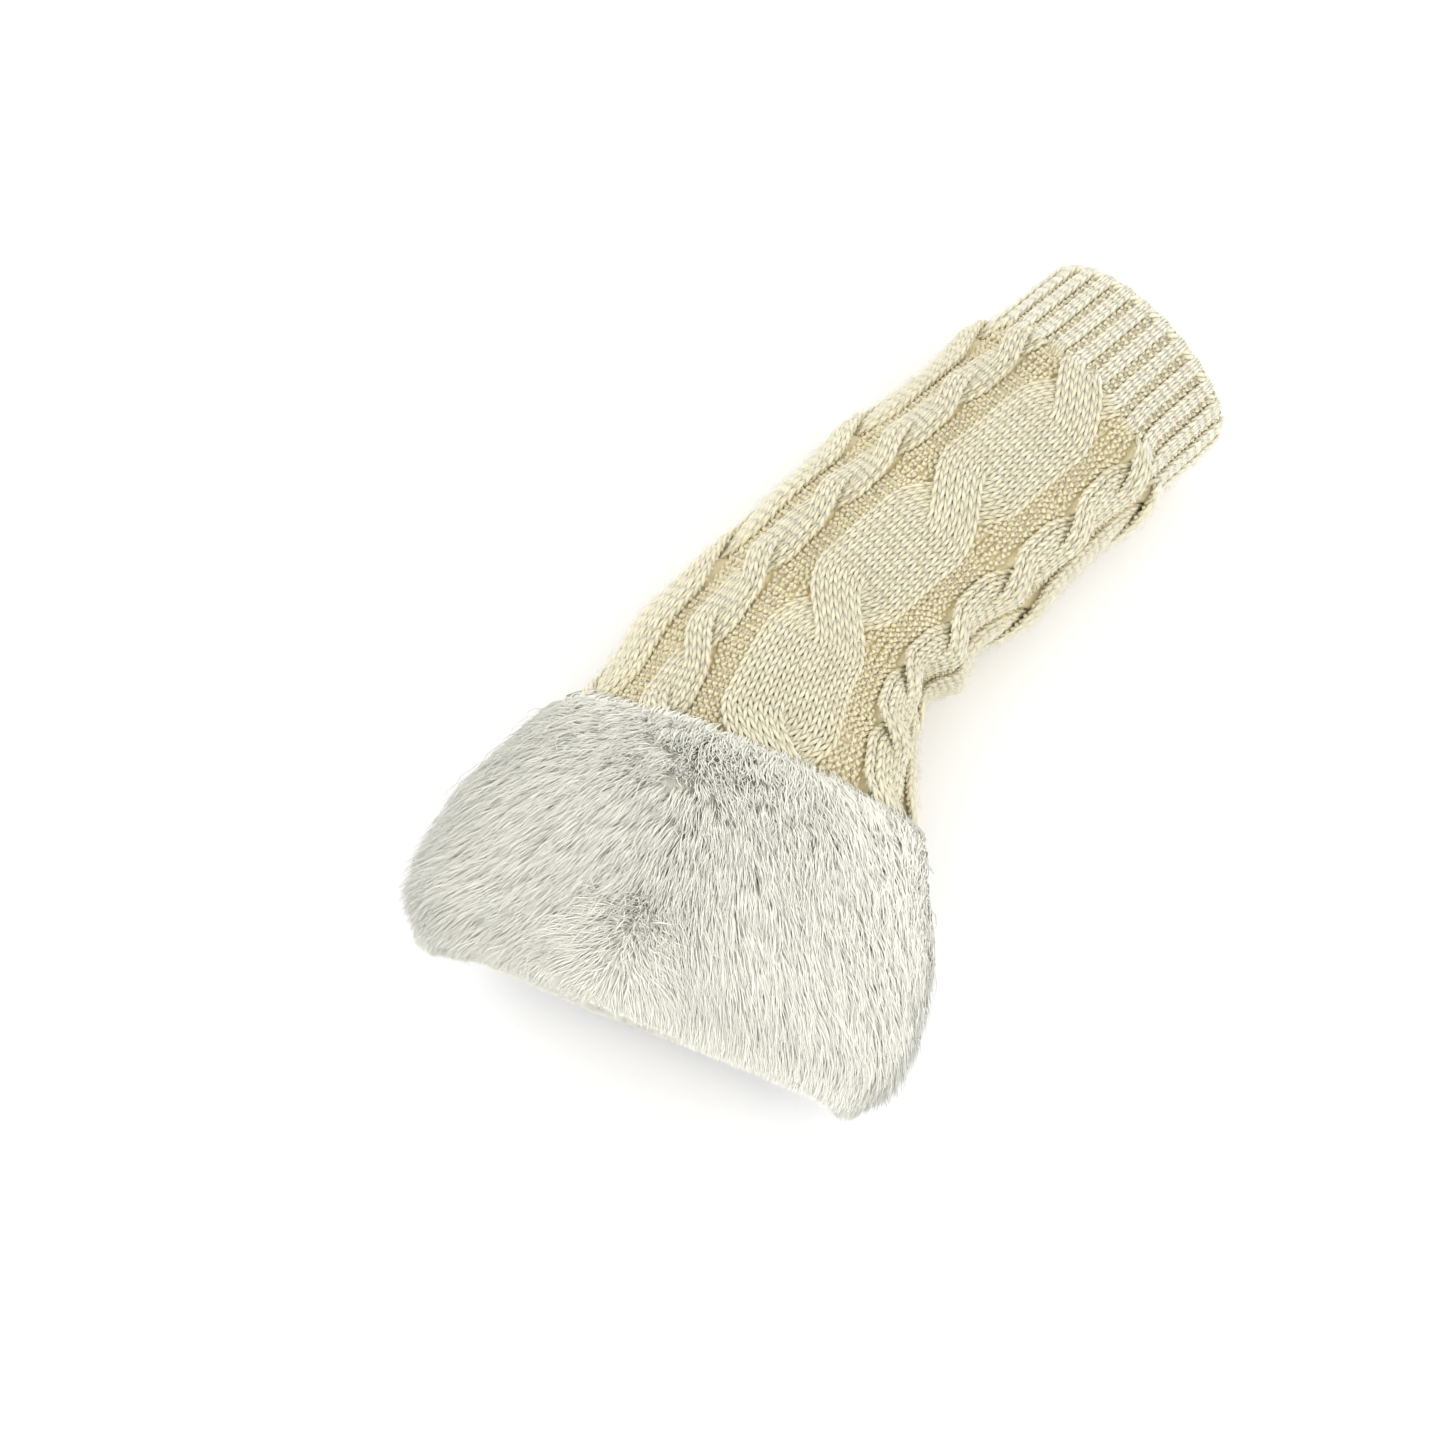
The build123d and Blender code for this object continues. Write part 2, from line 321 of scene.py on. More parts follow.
class Cable:
    """A cable of two equal strands: strand stitches each, crossing once in every period."""

    def __init__(self, strand, period, reach, lift, crown):
        self.strand, self.period, self.reach, self.lift, self.crown = strand, period, reach, lift, crown

    def swap(self, distance):
        return smoothstep(-self.reach, self.reach, distance)

    def spacing(self, distance):
        return 1.0 + 0.22 * near(distance, self.reach * 0.7)

    def edge(self, distance):
        """Half the cable's width, in stitches."""
        apart = np.sqrt((1 - 2 * self.swap(distance)) ** 2 + 0.03)
        return self.strand / 2 * (apart + self.spacing(distance)) - 0.1

    def path(self, place, distance, after):
        """Where the wale runs, and how high, by its settled place and its distance from the crossing it
        belongs to. after says that it lies on the arm's side of that crossing."""
        right = place > 0
        centre = np.where(right, 1, -1) * self.strand / 2
        swap = self.swap(distance)
        share = np.where(after, 1 - swap, swap)
        middle = centre * (1 - 2 * share)
        within = place - centre
        across = middle + within * self.spacing(distance)
        front = np.where(after, ~right, right)
        bump = near(distance, self.reach * 0.8)
        height = np.where(front, self.lift, -0.75 * self.lift) * bump
        round_off = 1 - (2 * within / self.strand) ** 2
        height += 0.55 * round_off * (0.25 + bump) * self.crown
        whole = 1 - np.abs(np.clip(across / self.strand, -1, 1)) ** 3
        height += self.crown * whole * (1 - 0.4 * bump)
        return across, height


WIDE = Cable(6, WIDE_PERIOD, 11.2, 1.45, 1.1)
ROPE = Cable(3, ROPE_PERIOD, 7.2, 1.9, 1.45)
CABLE_BASE = 0.2
GUTTER = -1.15
# The rib's four stitches: where each settles across, and how high, two knit ones and two purl ones
RIB_REPEAT = 4
RIB_PLACES = np.array([-0.55, 0.55, 1.62, 2.38])
RIB_HEIGHTS = np.array([0.55, 0.55, -0.55, -0.55])


def wale(column, along, start):
    """Across in stitches and height of that stitch column at along, for a stitch whose middle is at start."""
    repeat = np.round((column + 0.5) / REPEAT)
    local = column + 0.5 - repeat * REPEAT
    size = np.abs(local)
    side = np.sign(local)
    wide_start, wide_number = crossing(start, WIDE.period)
    rope_start, rope_number = crossing(start, ROPE.period)
    wide_distance = along - CROSSING - wide_number * WIDE.period
    rope_distance = along - CROSSING - rope_number * ROPE.period
    in_wide = size < WIDE_HALF
    in_rope = size > ROPE_START
    last = WIDE_HALF - 0.5
    across_wide, high_wide = WIDE.path(np.clip(local, -last, last), wide_distance, wide_start >= 0)
    # every rope cable crosses the same way, so its own left and right are kept
    rope_local = np.where(local > 0, local - ROPE_MIDDLE, local + ROPE_MIDDLE)
    last = ROPE_MIDDLE - ROPE_START - 0.5
    across_rope, high_rope = ROPE.path(np.clip(rope_local, -last, last), rope_distance, rope_start >= 0)
    wide_edge = WIDE.edge(crossing(along, WIDE.period)[0])
    rope_edge = ROPE.edge(crossing(along, ROPE.period)[0])
    share = (size - WIDE_HALF) / (ROPE_START - WIDE_HALF)
    gutter = wide_edge + share * (ROPE_MIDDLE - rope_edge - wide_edge)
    across = np.where(in_rope, across_rope + side * ROPE_MIDDLE, side * gutter)
    across = np.where(in_wide, across_wide, across) + repeat * REPEAT
    height = np.where(in_rope, high_rope + CABLE_BASE, GUTTER + 0.5 * (2 * share - 1) ** 2)
    height = np.where(in_wide, high_wide + CABLE_BASE, height)
    number = np.floor((column + 1) / RIB_REPEAT)
    place = (column + 1 - number * RIB_REPEAT).astype(int)
    rib_across = number * RIB_REPEAT + RIB_PLACES[place]
    rib_height = RIB_HEIGHTS[place]
    rib = smoothstep(RIB_START - 1.0, RIB_START + 4.5, along)
    return across + (rib_across - across) * rib, height + (rib_height - height) * rib


def turn_of(across, along):
    """The share of the way round of a place across the knit given in stitches."""
    repeat = np.round(across / REPEAT)
    local = across - repeat * REPEAT
    quarter = REPEAT / (2 * ROUND_PLACES[-1])
    spread_out = np.sign(local) * np.interp(np.abs(local), STITCH_PLACES, ROUND_PLACES) * quarter
    even = smoothstep(RIB_START - 4, RIB_START + 8, along)
    turn = (repeat * REPEAT + spread_out + (local - spread_out) * even) / STITCHES + PATTERN_TURN
    # one gutter is pulled wider, on the little finger's side of the middle cable
    return turn + 0.02 * (1 - even) * near(turn_off(turn, 0.165), 0.05)


def is_knit(column, start):
    """Whether that stitch shows its knit side outside. The others are purl stitches."""
    repeat = np.round((column + 0.5) / REPEAT)
    size = np.abs(column + 0.5 - repeat * REPEAT)
    cable = (size < WIDE_HALF) | (size > ROPE_START)
    return np.where(start > RIB_START + 0.5, (column + 1) % RIB_REPEAT < RIB_REPEAT / 2, cable)


# Folds at the inside of the wrist and on the thumb side: along, reach along, place round, reach round, height
CREASES = [
    (20.0, 6.5, 0.25, 0.12, 4.0),
    (5.0, 6.0, 0.24, 0.12, -2.6),
    (33.0, 8.0, 0.25, 0.1, -0.8),
    (-14.0, 9.0, -0.22, 0.1, 1.6),
    (6.0, 9.0, -0.24, 0.1, -0.8),
]


def crease(along, turn):
    """How far the cloth bunches out of its tube."""
    wave = 0.35 * np.sin(along / 9.0 + 9 * np.sin(2 * pi * turn)) * smoothstep(105, 60, along)
    total = wave + 1.2 * smoothstep(30, 55, along) * near(turn_off(turn, 0.25), 0.1)
    for at, reach, about, reach_round, high in CREASES:
        total = total + high * near(along - at, reach) * near(turn_off(turn, about), reach_round)
    return total


STEPS = 13
SIDES = 5
LOOP_HEIGHT = 0.86  # half the loop's height, in rows
LOOP_WAIST = 0.24
LOOP_DEPTH = 0.5
INSIDE = -2.25  # the backs of the stitches
YARN = 0.55
LOOK_AHEAD = 0.4  # how far on the wale is looked up to find its slant


def stitches(name, columns, rows, inside=False):
    """Knitting: one looped tube of yarn for each stitch, or the backs of the stitches if inside."""
    column, row = [v.reshape(-1, 1).astype(float) for v in np.meshgrid(columns, rows, indexing="ij")]
    start = FIRST_ROW - ROW * row
    count = len(column)
    bend = np.linspace(-pi, pi, STEPS)[None]
    wobble = rng.normal(0, 1, (count, 4, 1))
    loop = np.where(is_knit(column, start), 1.0, -1.0)
    waist = np.where(loop > 0, LOOP_WAIST, 0.05) + 0.02 * wobble[:, 0]
    over = bend / (2 * pi) + waist * np.sin(2 * bend)
    ahead = -ROW * (LOOP_HEIGHT + 0.03 * wobble[:, 1]) * np.cos(bend)
    depth = -loop * LOOP_DEPTH * np.cos(2 * bend) + 0.07 * wobble[:, 2]
    along = start + ahead
    across, height = wale(column, along, start)
    across_next, _ = wale(column, along + LOOK_AHEAD, start)
    slant = (across_next - across) * STITCH_WIDTH / LOOK_AHEAD
    lean = 1 / np.sqrt(1 + slant**2)
    stretch = np.where(loop > 0, 0.98, 1.04)
    squeeze = np.where((start > RIB_START) & (loop < 0), 0.85, 1.0)
    turn = turn_of(across + over * lean * stretch * squeeze, along)
    along = along - over * slant * lean * STITCH_WIDTH
    if inside:
        height = INSIDE + 0.12 * height
    out = height + depth + crease(along, turn)
    points, outward = knit.place(along, turn, out)
    points[..., 2] = soft_floor(points[..., 2], 0.45, 0.35)
    radius = YARN * (1 + 0.05 * wobble[:, 3]) * (1 + 0.08 * np.cos(2 * bend)) * np.ones_like(along)
    skin, faces = strands(points, outward, radius, SIDES)
    # How low the stitch lies sets its painted recess tint: painted shade, and the warm light through the
    # cloth in the gutters
    painted_recess_tint = np.clip(0.5 - (height + 0.5 * depth) / 2.6, 0, 1)
    tone = np.repeat(rng.random((count, 1)), STEPS, axis=1)
    run = np.repeat((np.arange(STEPS) / (STEPS - 1))[None], count, axis=0) + 13 * tone
    uv = np.stack([per_point(run, STEPS, SIDES), np.tile(np.arange(SIDES) / SIDES, count * STEPS)], -1)
    attributes = [
        ("painted_recess_tint", per_point(painted_recess_tint, STEPS, SIDES)),
        ("tone", per_point(tone, STEPS, SIDES)),
        ("run", per_point(run, STEPS, SIDES)),
    ]
    return make_mesh(name, skin, faces, attributes, uv)


def rows_to(along):
    return int(round((FIRST_ROW - along) / ROW))


RIB_ROWS = range(0, rows_to(RIB_START))
ARM_ROWS = range(rows_to(RIB_START), rows_to(ZONE_START))
WRIST_ROWS = range(rows_to(ZONE_START), rows_to(ZONE_SPLIT))
HAND_ROWS = range(rows_to(ZONE_SPLIT), rows_to(KNIT_END))
ALL_ROUND = range(-52, 52)
BACK = range(-26, 26)
PALM = [*range(-52, -26), *range(26, 52)]
INSIDE_ROWS = range(0, 14)

knit_rib = stitches("knit_rib", ALL_ROUND, RIB_ROWS)
knit_forearm_back = stitches("knit_forearm_back", BACK, ARM_ROWS)
knit_forearm_palm = stitches("knit_forearm_palm", PALM, ARM_ROWS)
knit_wrist_back = stitches("knit_wrist_back", BACK, WRIST_ROWS)
knit_wrist_palm = stitches("knit_wrist_palm", PALM, WRIST_ROWS)
knit_hand_back = stitches("knit_hand_back", BACK, HAND_ROWS)
knit_hand_palm = stitches("knit_hand_palm", PALM, HAND_ROWS)
knit_inside = stitches("knit_inside", ALL_ROUND, INSIDE_ROWS, inside=True)

# Under the yarn and inside the glove -----------------------------------------------------------------------


def places(rows, columns, start, end):
    """A grid of places on a tube, rows along it and columns round it."""
    return np.meshgrid(spread(rows, start, end), spread(columns + 1, 0, 1)[:-1], indexing="ij")


def grid_faces(rows, columns, wrap=True, keep=None):
    """Quads of a grid of points, rows by columns, closed round its columns if wrap."""
    row, column = np.meshgrid(np.arange(rows - 1), np.arange(columns if wrap else columns - 1), indexing="ij")
    if keep is not None:
        row, column = row[keep], column[keep]
    row, column = row.reshape(-1), column.reshape(-1)
    after = (column + 1) % columns
    near_row, far_row = row * columns, (row + 1) * columns
    return np.stack([near_row + column, far_row + column, far_row + after, near_row + after], -1)


def shell(name, tube, along, turn, outer, inner, painted_recess_tint):
    """A closed tube of cloth between two offsets from a tube, given over a grid of places."""
    outside = tube.place(along, turn, outer)[0]
    inside = tube.place(along, turn, inner)[0]
    points = np.concatenate([outside.reshape(-1, 3), inside.reshape(-1, 3)])
    points[:, 2] = np.maximum(points[:, 2], 0.25)
    rows, columns = along.shape
    count = rows * columns
    out_faces = grid_faces(rows, columns)
    in_faces = out_faces[:, ::-1] + count
    column = np.arange(columns)
    after = (column + 1) % columns
    last = (rows - 1) * columns
    rims = [
        np.stack([column, after, after + count, column + count], -1),
        np.stack([last + after, last + column, last + column + count, last + after + count], -1),
    ]
    tone = np.full(2 * count, 0.5)
    # The painted recess tint: as given on the outer skin, a middling share on the inner one
    painted_recess_tint = np.concatenate([painted_recess_tint.reshape(-1), np.full(count, 0.5)])
    values = [("painted_recess_tint", painted_recess_tint), ("tone", tone), ("run", np.zeros_like(tone))]
    return make_mesh(name, points, [out_faces, in_faces, *rims], values)


def relief(along, turn):
    """The purl side of the knit, as the inside of the sleeve shows it."""
    row = (FIRST_ROW - along) / ROW
    column = turn * STITCHES
    bump = np.abs(np.sin(pi * (row + 0.22 * np.sin(2 * pi * column))))
    rib = smoothstep(RIB_START - 1, RIB_START + 4, along)
    ribs = np.sin(2 * pi * (column + 1.2) / RIB_REPEAT)
    return 0.42 * bump * (1 - 0.35 * rib) - 0.5 * rib * ribs


def lowest_yarn(along, turn):
    """How high the lowest yarn near each place of a grid runs."""
    column = np.repeat(np.array(ALL_ROUND, float)[None], len(along), axis=0)
    across, height = wale(column, along[:, :1], along[:, :1])
    off = turn_off(turn[:, :, None], turn_of(across, along[:, :1])[:, None])
    height = height[:, None]
    weight = np.exp(-((off * STITCHES / 0.62) ** 2) - 1.6 * height)
    return (weight * height).sum(-1) / (weight.sum(-1) + 1e-9)


def ground(name, rows, columns, start, end):
    """The cloth below the loops, so that no light comes through between them."""
    along, turn = places(rows, columns, start, end)
    height = lowest_yarn(along, turn)
    fold = crease(along, turn)
    outer = height - 0.55 - 0.35 * smoothstep(-0.8, 0.3, height) + fold
    inside = -2.3 - relief(along, turn) + 0.75 * smoothstep(80, 86, along)
    inner = np.minimum(outer - 0.3, fold + inside)
    # stronger painted recess tint where the yarn above lies low
    return shell(name, knit, along, turn, outer, inner, np.clip(0.5 - height / 2.6, 0, 1))


ground_sleeve = ground("ground_sleeve", 100, 312, ARM_EDGE - 0.4, ZONE_SPLIT)
ground_hand = ground("ground_hand", 30, 312, ZONE_SPLIT, KNIT_END - 1)


def cord(name, tube, along, turn, out, radius, sides=6, plies=1, pitch=3.0, spin=0.45):
    """A yarn, or several twisted together, through places on a tube."""
    along, turn, out = [np.atleast_2d(v) for v in np.broadcast_arrays(along, turn, out)]
    points, outward = tube.place(along, turn, out)
    points[..., 2] = np.maximum(points[..., 2], 0.4)
    if plies > 1:
        ahead = np.gradient(points, axis=1)
        length = np.cumsum(np.linalg.norm(ahead, axis=-1), axis=1)
        ahead /= np.linalg.norm(ahead, axis=-1, keepdims=True)
        side = np.cross(ahead, outward)
        turns = [2 * pi * (length / pitch + k / plies) for k in range(plies)]
        spins = [np.cos(a)[..., None] * side + np.sin(a)[..., None] * outward for a in turns]
        lines = [points + spin * away for away in spins]
        points, outward = np.concatenate(lines), np.concatenate([outward] * plies)
        points[..., 2] = np.maximum(points[..., 2], 0.4)
    steps = points.shape[1]
    skin, faces = strands(points, outward, np.full(points.shape[:2], radius), sides)
    count = len(points)
    tone = np.repeat(rng.random((count, 1)), steps, axis=1)
    run = np.repeat(np.arange(steps)[None] * 0.2, count, axis=0)
    # a small even share of the painted recess tint on every cord
    per_step = {"painted_recess_tint": np.full_like(tone, 0.25), "tone": tone, "run": run}
    values = [(label, per_point(value, steps, sides)) for label, value in per_step.items()]
    side_values = 1 - np.abs(2 * np.arange(sides) / sides - 1)
    uv = np.stack([per_point(run, steps, sides), np.tile(side_values, count * steps)], -1)
    return make_mesh(name, skin, faces, values, uv)


def join_pieces(name, pieces):
    """One object from several, with their attributes."""
    bpy.ops.object.select_all(action="DESELECT")
    for piece in pieces:
        piece.select_set(True)
    bpy.context.view_layer.objects.active = pieces[0]
    bpy.ops.object.join()
    pieces[0].name = name
    pieces[0].data.name = name
    return pieces[0]


once_round = spread(900, -0.502, 0.502)
edge = cord("edge_a", knit, ARM_EDGE - 0.55, once_round, 0.15, 0.62, plies=2, pitch=3.4, spin=0.6)
edge_inside = cord("edge_b", knit, ARM_EDGE - 0.7, once_round, -1.25, 0.55, plies=2, pitch=3.4, spin=0.5)
cast_on_edge = join_pieces("cast_on_cord", [edge, edge_inside])

KNIT_ROUND = 173.0  # roughly, in millimetres, inside the knit
SEAM_DEPTH = -3.6
SEAM_STEPS = 3  # for each millimetre
THREAD = 0.2


def seam(name, start, end):
    """The linked seam inside the glove: two edges of knit caught together by a zigzag thread."""
    along = spread(int(abs(start - end) * SEAM_STEPS), start, end)
    wave = 0.25 * np.sin(2 * pi * along / ROW)
    edges = []
    for tag, side in (("_a", -1), ("_b", 1)):
        turn = SEAM_TURN + side * (1.0 + wave) / KNIT_ROUND
        edges.append(cord(name + tag, knit, along, turn, SEAM_DEPTH + 0.2 * wave * side, 0.62))
    zigzag = np.sin(2 * pi * along / ROW * 0.5)
    turn = SEAM_TURN + 1.5 * zigzag / KNIT_ROUND
    thread = cord(name + "_c", knit, along, turn, -4.45 + 0.35 * zigzag**2, THREAD, sides=5)
    return join_pieces(name, [*edges, thread])


side_seam_forearm = seam("seam_forearm", ARM_EDGE - 4.5, HALF_ARC)
side_seam_wrist = seam("seam_wrist", HALF_ARC, ZONE_SPLIT)
side_seam_palm = seam("seam_palm", ZONE_SPLIT, -HALF_ARC)
side_seam_hand = seam("seam_hand", -HALF_ARC, KNIT_END)


def arcs(name, tube, count, start, end, reach, tilt):
    """Short stitches in a row round a tube. start and end are (along, out), reach bows the stitch away and
    tilt slants it."""
    t = spread(7, 0, 1)[None]
    turn = (np.arange(count)[:, None] + 0.15 * rng.normal(0, 1, (count, 1))) / count
    bow = 4 * t * (1 - t)
    along = start[0] + (end[0] - start[0]) * t + reach[0] * bow
    out = start[1] + (end[1] - start[1]) * t + reach[1] * bow
    return cord(name, tube, along, turn + tilt * (t - 0.5) / count, out, THREAD, sides=5)


HEM = CUFF_EDGE + 2.6
join_stitches = arcs("join_thread", cuff, 84, (CUFF_TOP + 1.3, -0.55), (CUFF_TOP - 2.4, 1.1), (0.2, 0.8), 0.9)
hem_stitches = arcs("hem_thread", cuff, 118, (HEM, 1.1), (HEM, -1.3), (-4.2, 0.0), 0.8)

# Care label: a blank folded tape that stands up from the seam, with three stitches through its foot
LABEL_LOW, LABEL_HIGH = [np.array(corner) * 1000 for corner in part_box("care_label")]
LABEL_WIDTH, LABEL_HEIGHT = (LABEL_HIGH - LABEL_LOW)[1:]
# The fold seen from its edge: millimetres through it, and the share of its height
LABEL_FOLD = np.array([
    (0.2, 0.0),
    (0.15, 0.35),
    (0.1, 0.7),
    (0.25, 0.92),
    (0.62, 1.0),
    (1.0, 0.93),
    (1.15, 0.7),
    (1.3, 0.35),
    (1.5, 0.0),
])
FRAME_SHIFT = np.array([*FOOTPRINT_CENTRE, 0])


def label_grid(rows=33, columns=15):
    """Points of the folded tape: rows along the fold and columns across the tape."""
    fine = spread(rows, 0, len(LABEL_FOLD) - 1)
    through, share = [np.interp(fine, np.arange(len(LABEL_FOLD)), column)[:, None] for column in LABEL_FOLD.T]
    width = spread(columns, 0, LABEL_WIDTH)[None]
    curl = 0.35 * np.sin(width / LABEL_WIDTH * pi)
    x = LABEL_LOW[0] + through * 0.9 + 0.1 + curl * share
    points = np.stack(np.broadcast_arrays(x, LABEL_LOW[1] + width, LABEL_LOW[2] + share * LABEL_HEIGHT), -1)
    return points + FRAME_SHIFT


def label_threads(count=3, length=2.2, height=1.8):
    """Stitches across the foot of the label, on its outer face."""
    t = spread(9, 0, 1)[None]
    number = np.arange(count)[:, None]
    y = LABEL_LOW[1] + LABEL_WIDTH * (number + 0.5) / count + length * (t - 0.5)
    x = LABEL_HIGH[0] + 0.12 + 0.3 * np.sin(pi * t)
    points = np.stack(np.broadcast_arrays(x, y, LABEL_LOW[2] + height), -1) + FRAME_SHIFT
    outward = np.broadcast_to([1.0, 0, 0], points.shape)
    return make_mesh("label_thread", *strands(points, outward, np.full(points.shape[:2], THREAD), 6))


label_points = label_grid()
care_label = make_mesh("label_fold", label_points, [grid_faces(*label_points.shape[:2], wrap=False)])
thick = care_label.modifiers.new("thickness", "SOLIDIFY")
thick.thickness = 0.00028
thick.offset = 0
label_stitches = label_threads()

# Fur cuff --------------------------------------------------------------------------------------------------

CUFF_ROUND = 240.0  # roughly, in millimetres
PILE_ROUND = 320.0


def slit(along, turn, grow=0.0):
    """Below 1 inside the thumb slit, a slot with round ends, when its outline is moved out by grow."""
    lengthwise = np.maximum(np.abs(along - SLIT_MIDDLE) - (SLIT_LENGTH - SLIT_HEIGHT) / 2, 0)
    upright = turn_off(turn, SEAM_TURN) * CUFF_ROUND
    return np.hypot(lengthwise, upright) / (SLIT_HEIGHT / 2 + grow)


def face_middles(along, turn):
    """The places of the middles of a grid's faces."""
    return (along[:-1] + along[1:]) / 2, turn[:-1] + 0.5 / along.shape[1]


def cloth_layer(name, along, turn, middle, thickness):
    """A layer of the cuff with the thumb slit cut out. middle is how far out from the cuff's tube it lies."""
    points = cuff.place(along, turn, middle)[0]
    keep = slit(*face_middles(along, turn), 1.2) > 1
    piece = make_mesh(name, points, [grid_faces(*along.shape, keep=keep)], [("tone", rng.random(along.size))])
    bpy.context.view_layer.objects.active = piece
    solid = piece.modifiers.new("thickness", "SOLIDIFY")
    solid.thickness = thickness / 1000
    solid.offset = 0
    bpy.ops.object.modifier_apply(modifier="thickness")
    return piece


def nap(along, turn, size):
    """A soft unevenness of a napped face, with bumps of about that size."""
    u, v = turn * CUFF_ROUND / size, along / size
    bumps = np.sin(1.7 * u + 2.1 * np.sin(1.3 * v)) * np.sin(1.9 * v + 1.7 * np.sin(1.1 * u))
    return bumps + 0.5 * np.sin(4.3 * u + 3.1 * v + np.sin(2.7 * v))


def lining_face(along, turn):
    """The middle of the lining, which is drawn in on to the knit where it starts."""
    return -0.7 + 0.22 * nap(along, turn, 1.6) - 2.4 * smoothstep(-54, -48.5, along)


LAYER = 0.9  # the thickness of the backing and of the lining
along, turn = places(96, 320, CUFF_TOP, CUFF_EDGE)
fur_backing = cloth_layer("backing_layer", along, turn, 0.55, LAYER)
along, turn = places(110, 320, KNIT_END - 0.1, CUFF_EDGE)
cuff_lining = cloth_layer("lining_layer", along, turn, lining_face(along, turn), LAYER)


def slot_outline(share, grow):
    """Places on the slot's outline moved out by grow, at that share of the way round it."""
    straight = SLIT_LENGTH - SLIT_HEIGHT
    radius = SLIT_HEIGHT / 2 + grow
    half = straight + pi * radius
    at = (share % 1.0) * 2 * half
    sides = [at < straight, (at >= straight) & (at < half), (at >= half) & (at < half + straight)]
    end_a, end_b = (at - straight) / radius, (at - straight - half) / radius
    x_choices = [at - straight / 2, straight / 2 + radius * np.sin(end_a), straight / 2 - (at - half)]
    x = np.select(sides, x_choices, -straight / 2 - radius * np.sin(end_b))
    y = np.select(sides, [radius, radius * np.cos(end_a), -radius], -radius * np.cos(end_b))
    return SLIT_MIDDLE + x, SEAM_TURN + y / CUFF_ROUND


def slot_binding():
    """The tape that binds the thumb slit, with a whip stitch over it."""
    tape = cord("binding_a", cuff, *slot_outline(spread(260, -0.003, 1.003), 0.9), 0.0, 1.35, sides=10)
    loop = spread(9, 0, 1)[None]
    number = np.arange(54)[:, None] / 54
    along, turn = slot_outline(number + 0.006 * (loop - 0.5), 0.9)
    out_along, out_turn = slot_outline(number, 1.9)
    over = WHIP_REACH * np.cos(2 * pi * loop)
    along, turn = along + (out_along - along) * over, turn + (out_turn - turn) * over
    whip = cord("binding_b", cuff, along, turn, WHIP_REACH * np.sin(2 * pi * loop), 0.17, sides=5)
    return join_pieces("slit_binding", [tape, whip])


WHIP_REACH = 1.45
thumb_binding = slot_binding()

# The fur: a dense core that the light doesn't pass, and hair on it in soft locks
STAR_ALONG, STAR_SIDE = -91.0, -9.0  # the middle of the parting like a star
SLIT_FUR = 2.6  # how far the fur keeps off the thumb slit
HAIR_REACH = 9.5
HAIR_SIDES = 3
# A hair's points by their share of its length, how much of its thickness it has there, and its share of the
# way from the painted root shade to the tip's colour
HAIR_SHARES = np.array([0.22, 0.5, 0.77, 1.0])
HAIR_TAPER = np.array([1.0, 1.0, 0.85, 0.0])
TIP_VALUES = np.array([0.0, 0.35, 0.75, 1.0])


def fur_flow(along, turn):
    """Which way the pile lies, towards the fingers and round the hand, and how high it stands."""
    u = turn_off(turn, 0.0) * PILE_ROUND
    down = 0.9 - 0.65 * smoothstep(-66, -41, along) + 0.2 * smoothstep(-84, -100, along)
    round_hand = 0.16 * np.sin(u / 23.0 + 1.3) + 0.07 * np.sin(u / 9.0 + along / 11.0)
    down = down + 0.09 * np.sin(along / 7.5 + u / 31.0)
    du, dv = u - STAR_SIDE, STAR_ALONG - along
    radius = np.hypot(du, dv) + 1e-6
    pull = near(radius, 14.0) * (1 - np.exp(-radius / 3.0)) * np.where(dv < 0, 0.6, 1.0)
    down = down * (1 - 0.9 * pull) + 1.1 * pull * dv / radius
    round_hand = round_hand * (1 - 0.9 * pull) + 1.1 * pull * du / radius
    height = 1 - 0.22 * near(radius, 5.0) + 0.03 * np.sin(u / 13.0) * np.sin(along / 9.0)
    beside = np.exp(-np.maximum(slit(along, turn) - 1, 0) * 2.2)
    round_hand = round_hand + 0.55 * beside * np.sign(turn_off(turn, SEAM_TURN))
    return down, round_hand, height


def side_trim(along, turn):
    """The pile lies lower at the sides of the hand by the wrist, most of all on the little finger's side."""
    little = near(turn_off(turn, 0.25), 0.14)
    thumb = near(turn_off(turn, -0.25), 0.14)
    by_wrist = smoothstep(-76, -50, along)
    return little * (1.0 + 3.5 * by_wrist) + thumb * (2.8 * by_wrist - 1.0)


def on_palm(turn):
    """0 on the back of the hand, and 1 on the palm side."""
    return smoothstep(0.1, -0.6, np.cos(2 * pi * turn))


def tip_places(root_along, root_turn, clump, noise, longer, loose, lean):
    """Where each hair's tip is, along, round and out from the pile's surface, and how much of that height the
    hair has."""
    clump_along, clump_turn, clump_high, clump_lean = clump
    down, side, height = fur_flow(clump_along, clump_turn)
    gather = (0.2 + 0.08 * noise[4]) * (0.6 + 0.4 * loose)
    along = root_along + gather * (clump_along - root_along)
    turn = root_turn + gather * turn_off(clump_turn, root_turn)
    reach = HAIR_REACH + 0.6 * noise[0] + longer
    along = along - (down + lean + 0.1 * clump_lean[0] + 0.1 * loose * noise[1]) * reach
    turn = turn + (side + 0.1 * clump_lean[1] + 0.1 * loose * noise[2]) * reach / PILE_ROUND
    # no hair reaches far past the finger edge, least of all on the palm side
    palm = on_palm(turn)
    most = 9.0 - 4.5 * palm
    edge = CUFF_EDGE + 1.0 + palm
    along = np.maximum(along, edge) - most * np.tanh(np.maximum(edge - along, 0) / most)
    past = np.maximum(CUFF_EDGE + 2.0 - along, 0)
    before = np.maximum(along - CUFF_TOP + 3.0, 0)
    out = 0.2 * clump_high + 0.35 * loose * noise[3] - 0.05 * past**2 + 0.15 * longer - side_trim(along, turn)
    return along, turn, out - 0.45 * before - 6.0 * max(-lean, 0.0), height * (1 + 0.04 * noise[4])


